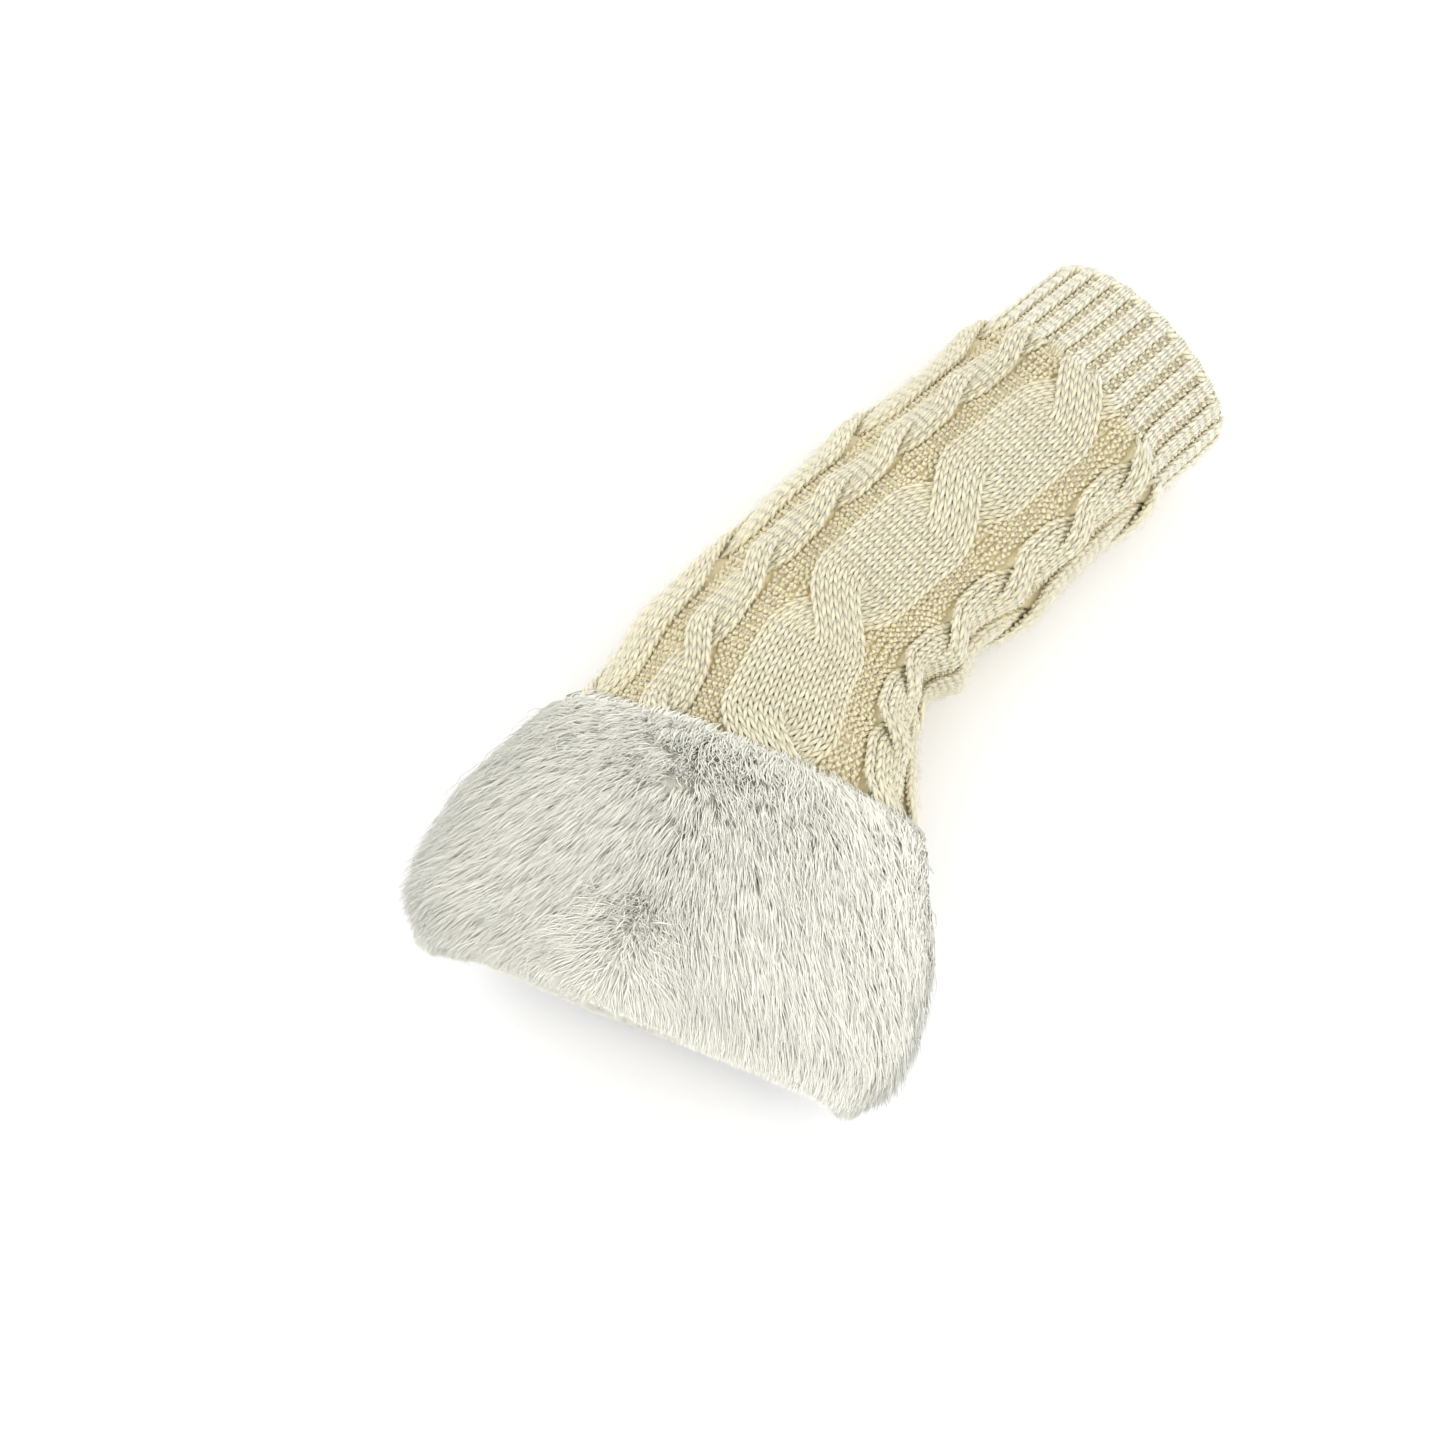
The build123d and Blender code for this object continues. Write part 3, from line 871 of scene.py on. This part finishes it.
def tip_points(along, turn, out, noise, hug):
    """The tips in space: on the pile or, by hug, down on the cloth or the knit, and never inside the knit."""
    tip = pile.place(along, turn, out)[0]
    on_cloth = cuff.place(along, turn, 2.5 + noise)[0]
    on_knit = knit.place(along, turn, 1.8 + 0.6 * noise)[0]
    lying = np.where((along > CUFF_TOP - 3)[:, None], on_knit, on_cloth)
    tip = tip + (lying - tip) * hug
    over_knit, away = knit.place(along, turn, 1.4)
    buried = np.maximum(((over_knit - tip) * away).sum(-1), 0) * (along > KNIT_END)
    return tip + away * buried[:, None]


def hair_lines(root, outward, tip, loose):
    """A curve of points for each hair, which leaves its root outwards and bends over to its tip."""
    count = len(root)
    size = np.linalg.norm(tip - root, axis=-1, keepdims=True)
    bend = root + outward * size * 0.62 + 0.1 * (tip - root)
    t = HAIR_SHARES[None, :, None]
    points = (1 - t) ** 2 * root[:, None] + 2 * t * (1 - t) * bend[:, None] + t**2 * tip[:, None]
    points = points + 0.25 * loose * rng.normal(0, 1, (count, 1, 3)) * np.sin(pi * t)
    floor = 0.35 + 0.5 * rng.random((count, 1))
    points[..., 2] = soft_floor(points[..., 2], floor, 0.8)
    return points


def soften_normals(piece, root_along, outward, palm, loose):
    """Light finds a deep pile as one soft surface, so each hair is shaded mostly as that surface faces."""
    own = np.empty(len(piece.data.vertices) * 3, np.float32)
    piece.data.vertices.foreach_get("normal", own)
    share = 0.3 + 0.7 * smoothstep(-100, -93, root_along) * min(1.0, 1.6 - 0.6 * loose)
    share = share * (1 - palm * smoothstep(-80, -94, root_along))
    heading = centre_line(root_along)[2]
    rim = np.stack([np.sin(heading), -np.cos(heading), np.full_like(heading, 0.9)], -1)
    lit = outward * (1, 1, 0) + (0, 0, 1) * np.maximum(outward[:, 2:], -0.2)
    at_rim = smoothstep(-86, -98, root_along) * (0.15 + 0.85 * palm)
    facing = np.repeat(lit * share[:, None] + rim * at_rim[:, None], len(own) // 3 // len(root_along), axis=0)
    soft = 0.16 * own.reshape(-1, 3) + facing
    soft /= np.linalg.norm(soft, axis=1, keepdims=True)
    piece.data.normals_split_custom_set_from_vertices(soft)


def hairs(name, root_along, root_turn, clump, thickness, longer=0.0, loose=1.0, lean=0.0, hug=0.0):
    """Tapered hairs from those roots, each leaning with its clump. longer adds to their reach, loose spreads
    them, lean turns them more towards the fingers and hug presses them on to the cloth."""
    count = len(root_along)
    noise = rng.normal(0, 1, (6, count))
    along, turn, out, height = tip_places(root_along, root_turn, clump, noise, longer, loose, lean)
    root, outward = cuff.place(root_along, root_turn, 1.0)
    tip = root + (tip_points(along, turn, out, noise[5], hug) - root) * height[:, None]
    points = hair_lines(root, outward, tip, loose)
    radius = thickness * (1 + 0.15 * noise[5])[:, None] * HAIR_TAPER[None]
    steps = len(HAIR_SHARES)
    skin, faces = strands(points, np.repeat(outward[:, None], steps, axis=1), radius, HAIR_SIDES, tips=True)
    tone = np.repeat(rng.random((count, 1)), steps, axis=1)
    # the root end gets painted shade, fading to the tip's own colour
    tip_value = np.repeat(TIP_VALUES[None], count, axis=0)
    values = [(label, per_point(value, steps, HAIR_SIDES, True)) for label, value in
              (("tone", tone), ("tip", tip_value))]
    piece = make_mesh(name, skin, faces, values)
    soften_normals(piece, root_along, outward, on_palm(turn), loose)
    return piece


def scatter(count, low, high, first, last):
    """Evenly spread places with a random shift, as along and turn."""
    length, width = abs(high - low), abs(last - first) * CUFF_ROUND
    columns = max(int(round(np.sqrt(count * width / length))), 1)
    rows = max(int(round(count / columns)), 1)
    row, column = np.meshgrid(np.arange(rows), np.arange(columns), indexing="ij")
    row = (row + rng.random(row.shape)) / rows
    column = (column + rng.random(column.shape)) / columns
    return (low + (high - low) * row).reshape(-1), (first + (last - first) * column).reshape(-1)


def clumps_for(root_along, root_turn, spacing):
    """The nearest of the evenly scattered clump centres, with a height and a lean for each clump."""
    area = abs(CUFF_TOP - CUFF_EDGE) * CUFF_ROUND
    along, turn = scatter(int(area / spacing**2), CUFF_TOP + 2, CUFF_EDGE - 2, 0.0, 1.0)
    high = rng.normal(0, 1, len(along))
    lean = rng.normal(0, 1, (2, len(along)))
    nearest = np.empty(len(root_along), int)
    for begin in range(0, len(root_along), 2000):
        part = slice(begin, begin + 2000)
        dv = root_along[part, None] - along[None]
        du = turn_off(root_turn[part, None], turn[None]) * CUFF_ROUND
        nearest[part] = np.argmin(dv**2 + du**2, axis=1)
    return along[nearest], turn[nearest], high[nearest], lean[:, nearest]


def fur_piece(name, count, thickness, spacing, low=CUFF_TOP + 0.5, high=CUFF_EDGE - 0.5, first=0.0, last=1.0,
              **nature):
    """Hairs over a stretch of the cuff, in clumps that far apart."""
    along, turn = scatter(count, low, high, first, last)
    keep = slit(along, turn, SLIT_FUR) > 1
    along, turn = along[keep], turn[keep]
    return hairs(name, along, turn, clumps_for(along, turn, spacing), thickness, **nature)


def open_edges(faces):
    """The edges that only one face has, in that face's direction."""
    pairs = dict.fromkeys((a, b) for face in faces.tolist() for a, b in zip(face, face[1:] + face[:1]))
    return np.array([(a, b) for a, b in pairs if (b, a) not in pairs])


def dense_core():
    """The inside of the pile: a closed skin from the backing up into the hairs, with the thumb slit in it."""
    along, turn = places(70, 360, CUFF_TOP + 0.8, CUFF_EDGE - 0.6)
    down, side, height = fur_flow(along, turn)
    inner = cuff.place(along, turn, 1.15)[0]
    outer = pile.place(along - 3.5 * down, turn + 3.5 * side / PILE_ROUND, -side_trim(along, turn))[0]
    edge_fade = smoothstep(CUFF_TOP + 1, CUFF_TOP - 8, along)
    edge_fade = edge_fade * smoothstep(CUFF_EDGE - 1, CUFF_EDGE + 6, along)
    rise = (0.62 + 0.04 * nap(along, turn, 2.2)) * height * (0.25 + 0.75 * edge_fade)
    rise = rise * (0.12 + 0.88 * smoothstep(1.0, 2.4, slit(along, turn, SLIT_FUR)))
    outer = inner + (outer - inner) * rise[..., None]
    outer[..., 2] = np.maximum(outer[..., 2], 0.5)
    keep = slit(*face_middles(along, turn), 1.6) > 1
    out_faces = grid_faces(*along.shape, keep=keep)
    in_faces = out_faces[:, ::-1] + along.size
    rim = open_edges(out_faces)
    rims = np.stack([rim[:, 1], rim[:, 0], rim[:, 0] + along.size, rim[:, 1] + along.size], -1)
    points = np.concatenate([outer.reshape(-1, 3), inner.reshape(-1, 3)])
    used = np.zeros(len(points), bool)
    used[out_faces] = True
    used[in_faces] = True
    renumber = np.cumsum(used) - 1
    # the core is coloured almost as the hair roots, with their painted shade
    values = [("tone", rng.random(used.sum())), ("tip", np.full(used.sum(), 0.15))]
    return make_mesh("fur_core", points[used], [renumber[f] for f in (out_faces, in_faces, rims)], values)


def star_piece(count=1100, size=9.0):
    """The loose hairs round the middle of the star."""
    way = rng.uniform(0, 2 * pi, count)
    far = size * np.sqrt(rng.random(count))
    along = np.maximum(STAR_ALONG - far * np.sin(way), CUFF_EDGE + 0.5)
    turn = (STAR_SIDE + far * np.cos(way)) / PILE_ROUND
    return hairs("fur_star", along, turn, clumps_for(along, turn, 2.2), 0.17, loose=2.6)


HAIRS = 12400
# The pile's main parts: where each starts and ends round the hand, and how thick its hairs are
PILE_PARTS = [
    ("fur_back", 0.0, 0.125, 0.16),
    ("fur_knuckle", -0.125, 0.0, 0.16),
    ("fur_outer", 0.125, 0.375, 0.175),
    ("fur_palm", 0.375, 0.625, 0.185),
    ("fur_thumb", -0.375, -0.125, 0.175),
]
fur_pieces = [dense_core()]
for name, first, last, thickness in PILE_PARTS:
    fur_pieces.append(fur_piece(name, HAIRS, thickness, 3.2, first=first, last=last))
fur_pieces.append(star_piece())
# The finger edge, with a rim that lies down over the hem, then the wrist edge, with a skirt down on the knit
RIM, TOP = CUFF_EDGE + 0.2, CUFF_TOP + 0.2
fur_pieces += [
    fur_piece("fur_edge", 3600, 0.14, 5.0, CUFF_EDGE + 9, RIM, longer=2.0, loose=1.5),
    fur_piece("fur_rim", 6000, 0.15, 4.0, CUFF_EDGE + 2.2, RIM, loose=1.2, lean=0.35, hug=0.75),
    fur_piece("fur_fringe", 5200, 0.17, 3.0, TOP, CUFF_TOP - 3.0, loose=1.3, lean=-0.28),
    fur_piece("fur_skirt", 5200, 0.17, 2.2, TOP, CUFF_TOP - 1.0, longer=-4.5, loose=1.2, lean=-0.75, hug=0.9),
    fur_piece("fur_wisps", 2600, 0.11, 7.0, longer=3.0, loose=2.4),
]

# Fuzz ------------------------------------------------------------------------------------------------------


FIBRE_SHARES = np.array([0.0, 0.35, 0.7, 1.0])
FIBRE_TAPER = 0.042 * np.array([1.0, 0.9, 0.7, 0.0])


def fuzz(name, columns, rows, count):
    """Loose fibres that stand off the yarn."""
    column = rng.choice(np.asarray(columns), count).reshape(-1, 1).astype(float)
    row = rng.choice(np.asarray(rows), count).reshape(-1, 1) + rng.random((count, 1))
    along = FIRST_ROW - ROW * row
    across, height = wale(column, along, along)
    keep = (is_knit(column, along) | (rng.random((count, 1)) < 0.4))[:, 0]
    along, across, height = along[keep], across[keep], height[keep]
    count = len(along)
    t = FIBRE_SHARES[None]
    heading = rng.uniform(0, 2 * pi, (count, 1))
    length = rng.uniform(1.2, 3.6, (count, 1))
    lift = rng.uniform(0.35, 1.5, (count, 1))
    curl = rng.normal(0, 0.8, (count, 1))
    swing = heading + curl * t
    over = (across + (rng.random((count, 1)) - 0.5)) + length * t * np.cos(swing) / 1.7
    lengthwise = along + length * t * np.sin(swing)
    turn = turn_of(over, lengthwise)
    out = height + 0.75 + crease(along, turn_of(across, along)) + lift * np.sin(t * pi * 0.6)
    points, outward = knit.place(lengthwise, turn, out)
    points[..., 2] = np.maximum(points[..., 2], 0.3)
    radius = np.repeat(FIBRE_TAPER[None], count, axis=0)
    steps, sides = len(FIBRE_SHARES), 3
    skin, faces = strands(points, outward, radius, sides, tips=True)
    tone = np.repeat(rng.random((count, 1)), steps, axis=1)
    per_step = {"painted_recess_tint": np.zeros_like(tone), "tone": tone, "run": np.zeros_like(tone)}
    values = [(label, per_point(value, steps, sides, True)) for label, value in per_step.items()]
    return make_mesh(name, skin, faces, values)


fuzz_forearm = fuzz("fuzz_forearm", ALL_ROUND, [*RIB_ROWS, *ARM_ROWS], 5200)
fuzz_wrist = fuzz("fuzz_wrist", ALL_ROUND, WRIST_ROWS, 3000)
fuzz_hand = fuzz("fuzz_hand", ALL_ROUND, HAND_ROWS[:10], 1800)

# Materials -------------------------------------------------------------------------------------------------


class Paint:
    """Builds one node material."""

    def __init__(self, name, roughness, sheen, sheen_tint, through=0.0):
        self.material = bpy.data.materials.new(name)
        self.material.use_nodes = True
        self.nodes = self.material.node_tree.nodes
        self.links = self.material.node_tree.links
        self.shader = self.nodes["Principled BSDF"]
        self.shader.inputs["Roughness"].default_value = roughness
        self.shader.inputs["Specular IOR Level"].default_value = 0.25
        self.shader.inputs["Sheen Weight"].default_value = sheen
        self.shader.inputs["Sheen Roughness"].default_value = 0.45
        self.shader.inputs["Sheen Tint"].default_value = (*sheen_tint, 1)
        self.shader.inputs["Subsurface Weight"].default_value = through
        self.shader.inputs["Subsurface Radius"].default_value = (0.9, 0.9, 0.9)
        self.shader.inputs["Subsurface Scale"].default_value = 0.002
        self.coordinates = self.nodes.new("ShaderNodeTexCoord").outputs["Object"]

    def attribute(self, name):
        node = self.nodes.new("ShaderNodeAttribute")
        node.attribute_name = name
        return node.outputs["Fac"]

    def noise(self, scale, detail=4, roughness=0.6):
        node = self.nodes.new("ShaderNodeTexNoise")
        node.inputs["Scale"].default_value = scale
        node.inputs["Detail"].default_value = detail
        node.inputs["Roughness"].default_value = roughness
        self.links.new(self.coordinates, node.inputs["Vector"])
        return node.outputs["Fac"]

    def math(self, operation, a, b=0.0):
        node = self.nodes.new("ShaderNodeMath")
        node.operation = operation
        for socket, value in zip(node.inputs, (a, b)):
            if isinstance(value, (int, float)):
                socket.default_value = value
            else:
                self.links.new(value, socket)
        return node.outputs["Value"]

    def mix(self, share, a, b, blend="MIX"):
        node = self.nodes.new("ShaderNodeMix")
        node.data_type = "RGBA"
        node.blend_type = blend
        for socket, value in ((node.inputs["Factor"], share), (node.inputs["A"], a), (node.inputs["B"], b)):
            if isinstance(value, (int, float)):
                socket.default_value = value
            elif isinstance(value, tuple):
                socket.default_value = (*value, 1)
            else:
                self.links.new(value, socket)
        return node.outputs["Result"]

    def darken(self, colour, shade):
        """The colour times a grey."""
        grey = self.nodes.new("ShaderNodeCombineColor")
        for channel in ("Red", "Green", "Blue"):
            self.links.new(shade, grey.inputs[channel])
        return self.mix(1.0, colour, grey.outputs["Color"], "MULTIPLY")

    def ramp(self, share, low, high):
        node = self.nodes.new("ShaderNodeMapRange")
        node.inputs["From Min"].default_value = low
        node.inputs["From Max"].default_value = high
        self.links.new(share, node.inputs["Value"])
        return node.outputs["Result"]

    def finish(self, colour, height, strength, distance):
        self.links.new(colour, self.shader.inputs["Base Color"])
        bump = self.nodes.new("ShaderNodeBump")
        bump.inputs["Strength"].default_value = strength
        bump.inputs["Distance"].default_value = distance
        self.links.new(height, bump.inputs["Height"])
        self.links.new(bump.outputs["Normal"], self.shader.inputs["Normal"])
        return self.material


def wool(name, light, painted_recess_tint, sheen=0.35):
    """Soft spun yarn: plies, loose fibres and a painted tint where the stitches lie low, standing in for the
    shade there and, on the knit, for the warm light that comes through the cloth in the gutters.
    """
    paint = Paint(name, 0.88, sheen, (1.0, 0.97, 0.88), 0.7)
    fibres = paint.noise(2600, 5, 0.7)
    patches = paint.noise(70, 3, 0.5)
    # painted shade and painted through-light: the tint grows with how low the yarn lies, broken up by random
    # patches
    depth = paint.math("ADD", paint.attribute("painted_recess_tint"), paint.math("MULTIPLY", patches, 0.3))
    colour = paint.mix(paint.ramp(depth, 0.22, 0.98), light, painted_recess_tint)
    shade = paint.math("ADD", 0.92, paint.math("MULTIPLY", paint.attribute("tone"), 0.1))
    shade = paint.math("MULTIPLY", shade, paint.math("ADD", 0.93, paint.math("MULTIPLY", fibres, 0.14)))
    colour = paint.darken(colour, shade)
    map_node = paint.nodes.new("ShaderNodeUVMap")
    map_node.uv_map = "yarn"
    split = paint.nodes.new("ShaderNodeSeparateXYZ")
    paint.links.new(map_node.outputs["UV"], split.inputs["Vector"])
    twist = paint.math("ADD", paint.math("MULTIPLY", split.outputs["X"], 7.0), split.outputs["Y"])
    plies = paint.math("ABSOLUTE", paint.math("SINE", paint.math("MULTIPLY", twist, pi)))
    height = paint.math("ADD", paint.math("MULTIPLY", plies, 0.6), paint.math("MULTIPLY", fibres, 0.9))
    return paint.finish(colour, height, 0.55, 0.00025)


def fluff(name, shade_colour, light):
    """Fur: painted shade at the root, greyer and warmer there, brighter at the tip, each hair a little
    different.
    """
    paint = Paint(name, 0.7, 0.9, (1.0, 0.99, 0.93))
    patches = paint.noise(45, 3, 0.55)
    uneven = paint.math("MULTIPLY", paint.math("SUBTRACT", patches, 0.5), 0.5)
    share = paint.math("ADD", paint.attribute("tip"), uneven)
    colour = paint.mix(paint.ramp(share, 0.0, 0.85), shade_colour, light)
    shade = paint.math("ADD", 0.93, paint.math("MULTIPLY", paint.attribute("tone"), 0.07))
    colour = paint.darken(colour, shade)
    return paint.finish(colour, paint.noise(3000, 4, 0.7), 0.3, 0.0002)


def cloth(name, light, dark, scale, sheen=0.3, strength=0.5):
    """A plain cloth with a fine woven or napped face."""
    paint = Paint(name, 0.9, sheen, (1.0, 0.98, 0.93))
    grain = paint.noise(scale, 5, 0.65)
    patches = paint.noise(60, 2, 0.5)
    share = paint.math("ADD", paint.math("MULTIPLY", grain, 0.6), paint.math("MULTIPLY", patches, 0.4))
    return paint.finish(paint.mix(share, dark, light), grain, strength, 0.0003)


def weave(name, light, dark, threads):
    """Plain-woven tape: warp and weft threads over and under each other, with painted shade where a thread
    dips under, mixed with random fuzz.
    """
    paint = Paint(name, 0.7, 0.15, (1.0, 1.0, 1.0))
    split = paint.nodes.new("ShaderNodeSeparateXYZ")
    paint.links.new(paint.coordinates, split.inputs["Vector"])
    warp = paint.math("SINE", paint.math("MULTIPLY", split.outputs["Y"], threads))
    weft = paint.math("SINE", paint.math("MULTIPLY", split.outputs["Z"], threads))
    over = paint.math("MULTIPLY", warp, weft)
    fuzz_noise = paint.noise(2500, 4, 0.6)
    height = paint.math("ADD", paint.math("MULTIPLY", over, 0.4), fuzz_noise)
    # painted shade: darker where the weave dips, with random fuzz mixed in
    colour = paint.mix(paint.ramp(height, -0.2, 1.1), dark, light)
    return paint.finish(colour, height, 0.5, 0.0002)


# Each yarn's second colour is its painted recess tint: painted shade, and for the knit and rib the warm tint
# of light through the cloth in the gutters
KNIT_LIGHT, KNIT_PAINTED_RECESS_TINT = (0.815, 0.745, 0.53), (0.89, 0.775, 0.485)
materials = {
    "knit_wool": wool("knit_wool", KNIT_LIGHT, KNIT_PAINTED_RECESS_TINT),
    "rib_wool": wool("rib_wool", (0.9, 0.85, 0.66), (0.93, 0.83, 0.55)),
    "seam_yarn": wool("seam_yarn", (0.72, 0.67, 0.50), (0.58, 0.47, 0.26)),
    "thread": wool("thread", (0.78, 0.75, 0.64), (0.66, 0.6, 0.45), 0.15),
    # the fur's first colour is the painted shade at the hair roots
    "fur": fluff("fur", (0.98, 0.965, 0.83), (0.99, 0.98, 0.87)),
    "backing_cloth": cloth("backing_cloth", (0.72, 0.70, 0.62), (0.60, 0.57, 0.48), 900),
    "lining_fleece": cloth("lining_fleece", (0.80, 0.77, 0.66), (0.66, 0.62, 0.50), 1100, 0.45, 0.8),
    "binding_tape": cloth("binding_tape", (0.78, 0.74, 0.60), (0.62, 0.56, 0.42), 1400, 0.3, 0.8),
    "label_tape": weave("label_tape", (0.86, 0.86, 0.84), (0.70, 0.70, 0.67), 9000.0),
}

# Which body each piece rides on, its material slot and the CAD nodes that it stands for; bend_arm and
# bend_hand pieces stay in place on no body ---

split_x, split_y, split_heading = [float(v) for v in centre_line(np.array(ZONE_SPLIT))]
split_point = np.array([split_x, split_y, 27.0])
split_point = row_point(split_point)

RIDERS = [
    (knit_rib, "forearm", "rib_wool", ["rib_cuff"]),
    (knit_forearm_back, "bend_arm", "knit_wool", ["forearm_knit"]),
    (knit_forearm_palm, "bend_arm", "knit_wool", ["forearm_knit"]),
    (knit_wrist_back, "bend_arm", "knit_wool", ["wrist_knit"]),
    (knit_wrist_palm, "bend_arm", "knit_wool", ["wrist_knit"]),
    (knit_hand_back, "bend_hand", "knit_wool", ["wrist_knit", "hand_knit"]),
    (knit_hand_palm, "bend_hand", "knit_wool", ["wrist_knit", "hand_knit"]),
    (ground_sleeve, "bend_arm", "knit_wool", ["forearm_knit"]),
    (ground_hand, "bend_hand", "knit_wool", ["hand_knit"]),
    (knit_inside, "forearm", "knit_wool", ["rib_cuff"]),
    (fuzz_forearm, "bend_arm", "knit_wool", []),
    (fuzz_wrist, "bend_arm", "knit_wool", []),
    (fuzz_hand, "bend_hand", "knit_wool", []),
    (cast_on_edge, "forearm", "rib_wool", ["cast_on_edge"]),
    (side_seam_forearm, "bend_arm", "seam_yarn", ["side_seam_forearm"]),
    (side_seam_wrist, "bend_arm", "seam_yarn", ["side_seam_wrist"]),
    (side_seam_palm, "bend_hand", "seam_yarn", ["side_seam_wrist"]),
    (side_seam_hand, "bend_hand", "seam_yarn", ["side_seam_hand"]),
    (care_label, "forearm", "label_tape", ["care_label"]),
    (label_stitches, "forearm", "thread", ["label_stitches"]),
    (join_stitches, "hand", "thread", ["join_stitches"]),
    (hem_stitches, "hand", "thread", ["hem_stitches"]),
    (fur_backing, "hand", "backing_cloth", ["fur_backing"]),
    (cuff_lining, "hand", "lining_fleece", ["cuff_lining"]),
    (thumb_binding, "hand", "binding_tape", ["thumb_binding"]),
    *[(piece, "hand", "fur", ["fur_pile"]) for piece in fur_pieces],
]
for piece, body, slot, nodes in RIDERS:
    piece.data.materials.clear()
    piece.data.materials.append(materials[slot])
    if body == "bend_arm":
        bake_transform(piece)
    elif body == "bend_hand":
        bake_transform(piece)
    else:
        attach(piece, body)
    if nodes:
        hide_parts(*nodes)


def cut_sheet(piece, start, end, held, *rests):
    """Finds points round the middle of a band of the cuff; nothing more is done with them."""
    middle = cuff.place(np.full(721, (start + end) / 2), spread(721, 0, 1))[0]


cut_sheet(fur_backing, CUFF_TOP, CUFF_EDGE, "stretched", "cuff_lining")
cut_sheet(cuff_lining, KNIT_END, CUFF_EDGE, "stretched", "hand_knit")

# Floor, light and camera ------------------------------------------------------------------------------------

floor_mesh = bpy.data.meshes.new("floor")
floor_mesh.from_pydata([(-25, -25, 0), (25, -25, 0), (25, 25, 0), (-25, 25, 0)], [], [(0, 1, 2, 3)])
floor = bpy.data.objects.new("floor", floor_mesh)
bpy.context.collection.objects.link(floor)
floor.location.z = -0.0002
floor_paint = Paint("floor", 0.9, 0.0, (1, 1, 1))
floor_paint.finish(floor_paint.mix(floor_paint.noise(3, 2), (0.93, 0.93, 0.93), (0.95, 0.95, 0.95)),
                   floor_paint.noise(400, 3), 0.05, 0.0002)
floor_mesh.materials.append(floor_paint.material)

world = bpy.data.worlds.new("studio")
world.use_nodes = True
world.node_tree.nodes["Background"].inputs["Color"].default_value = (1, 1, 1, 1)
world.node_tree.nodes["Background"].inputs["Strength"].default_value = 1.08
bpy.context.scene.world = world


def softbox(name, place, power, size):
    lamp = bpy.data.lights.new(name, "AREA")
    lamp.energy = power
    lamp.size = size
    box = bpy.data.objects.new(name, lamp)
    box.location = place
    box.rotation_euler = (Vector((0, 0, 0.02)) - box.location).to_track_quat("-Z", "Y").to_euler()
    bpy.context.collection.objects.link(box)


softbox("key", (0.42, 0.05, 0.8), 2.2, 0.6)
softbox("fill", (-0.5, -0.35, 0.6), 1.6, 0.7)

AZIMUTH, ELEVATION, DISTANCE = radians(48.4), radians(74.2), 456.8
aim = np.array([3.72, -28.86, 25.0])
way = np.array([sin(AZIMUTH) * cos(ELEVATION), -cos(AZIMUTH) * cos(ELEVATION), sin(ELEVATION)])
camera = bpy.data.objects.new("camera", bpy.data.cameras.new("camera"))
camera.data.lens = 46.05
camera.location = row_point(aim + DISTANCE * way)
camera.rotation_euler = (Vector(row_point(aim)) - camera.location).to_track_quat("-Z", "Y").to_euler()
bpy.context.collection.objects.link(camera)
bpy.context.scene.camera = camera
bpy.context.scene.view_settings.view_transform = "Standard"
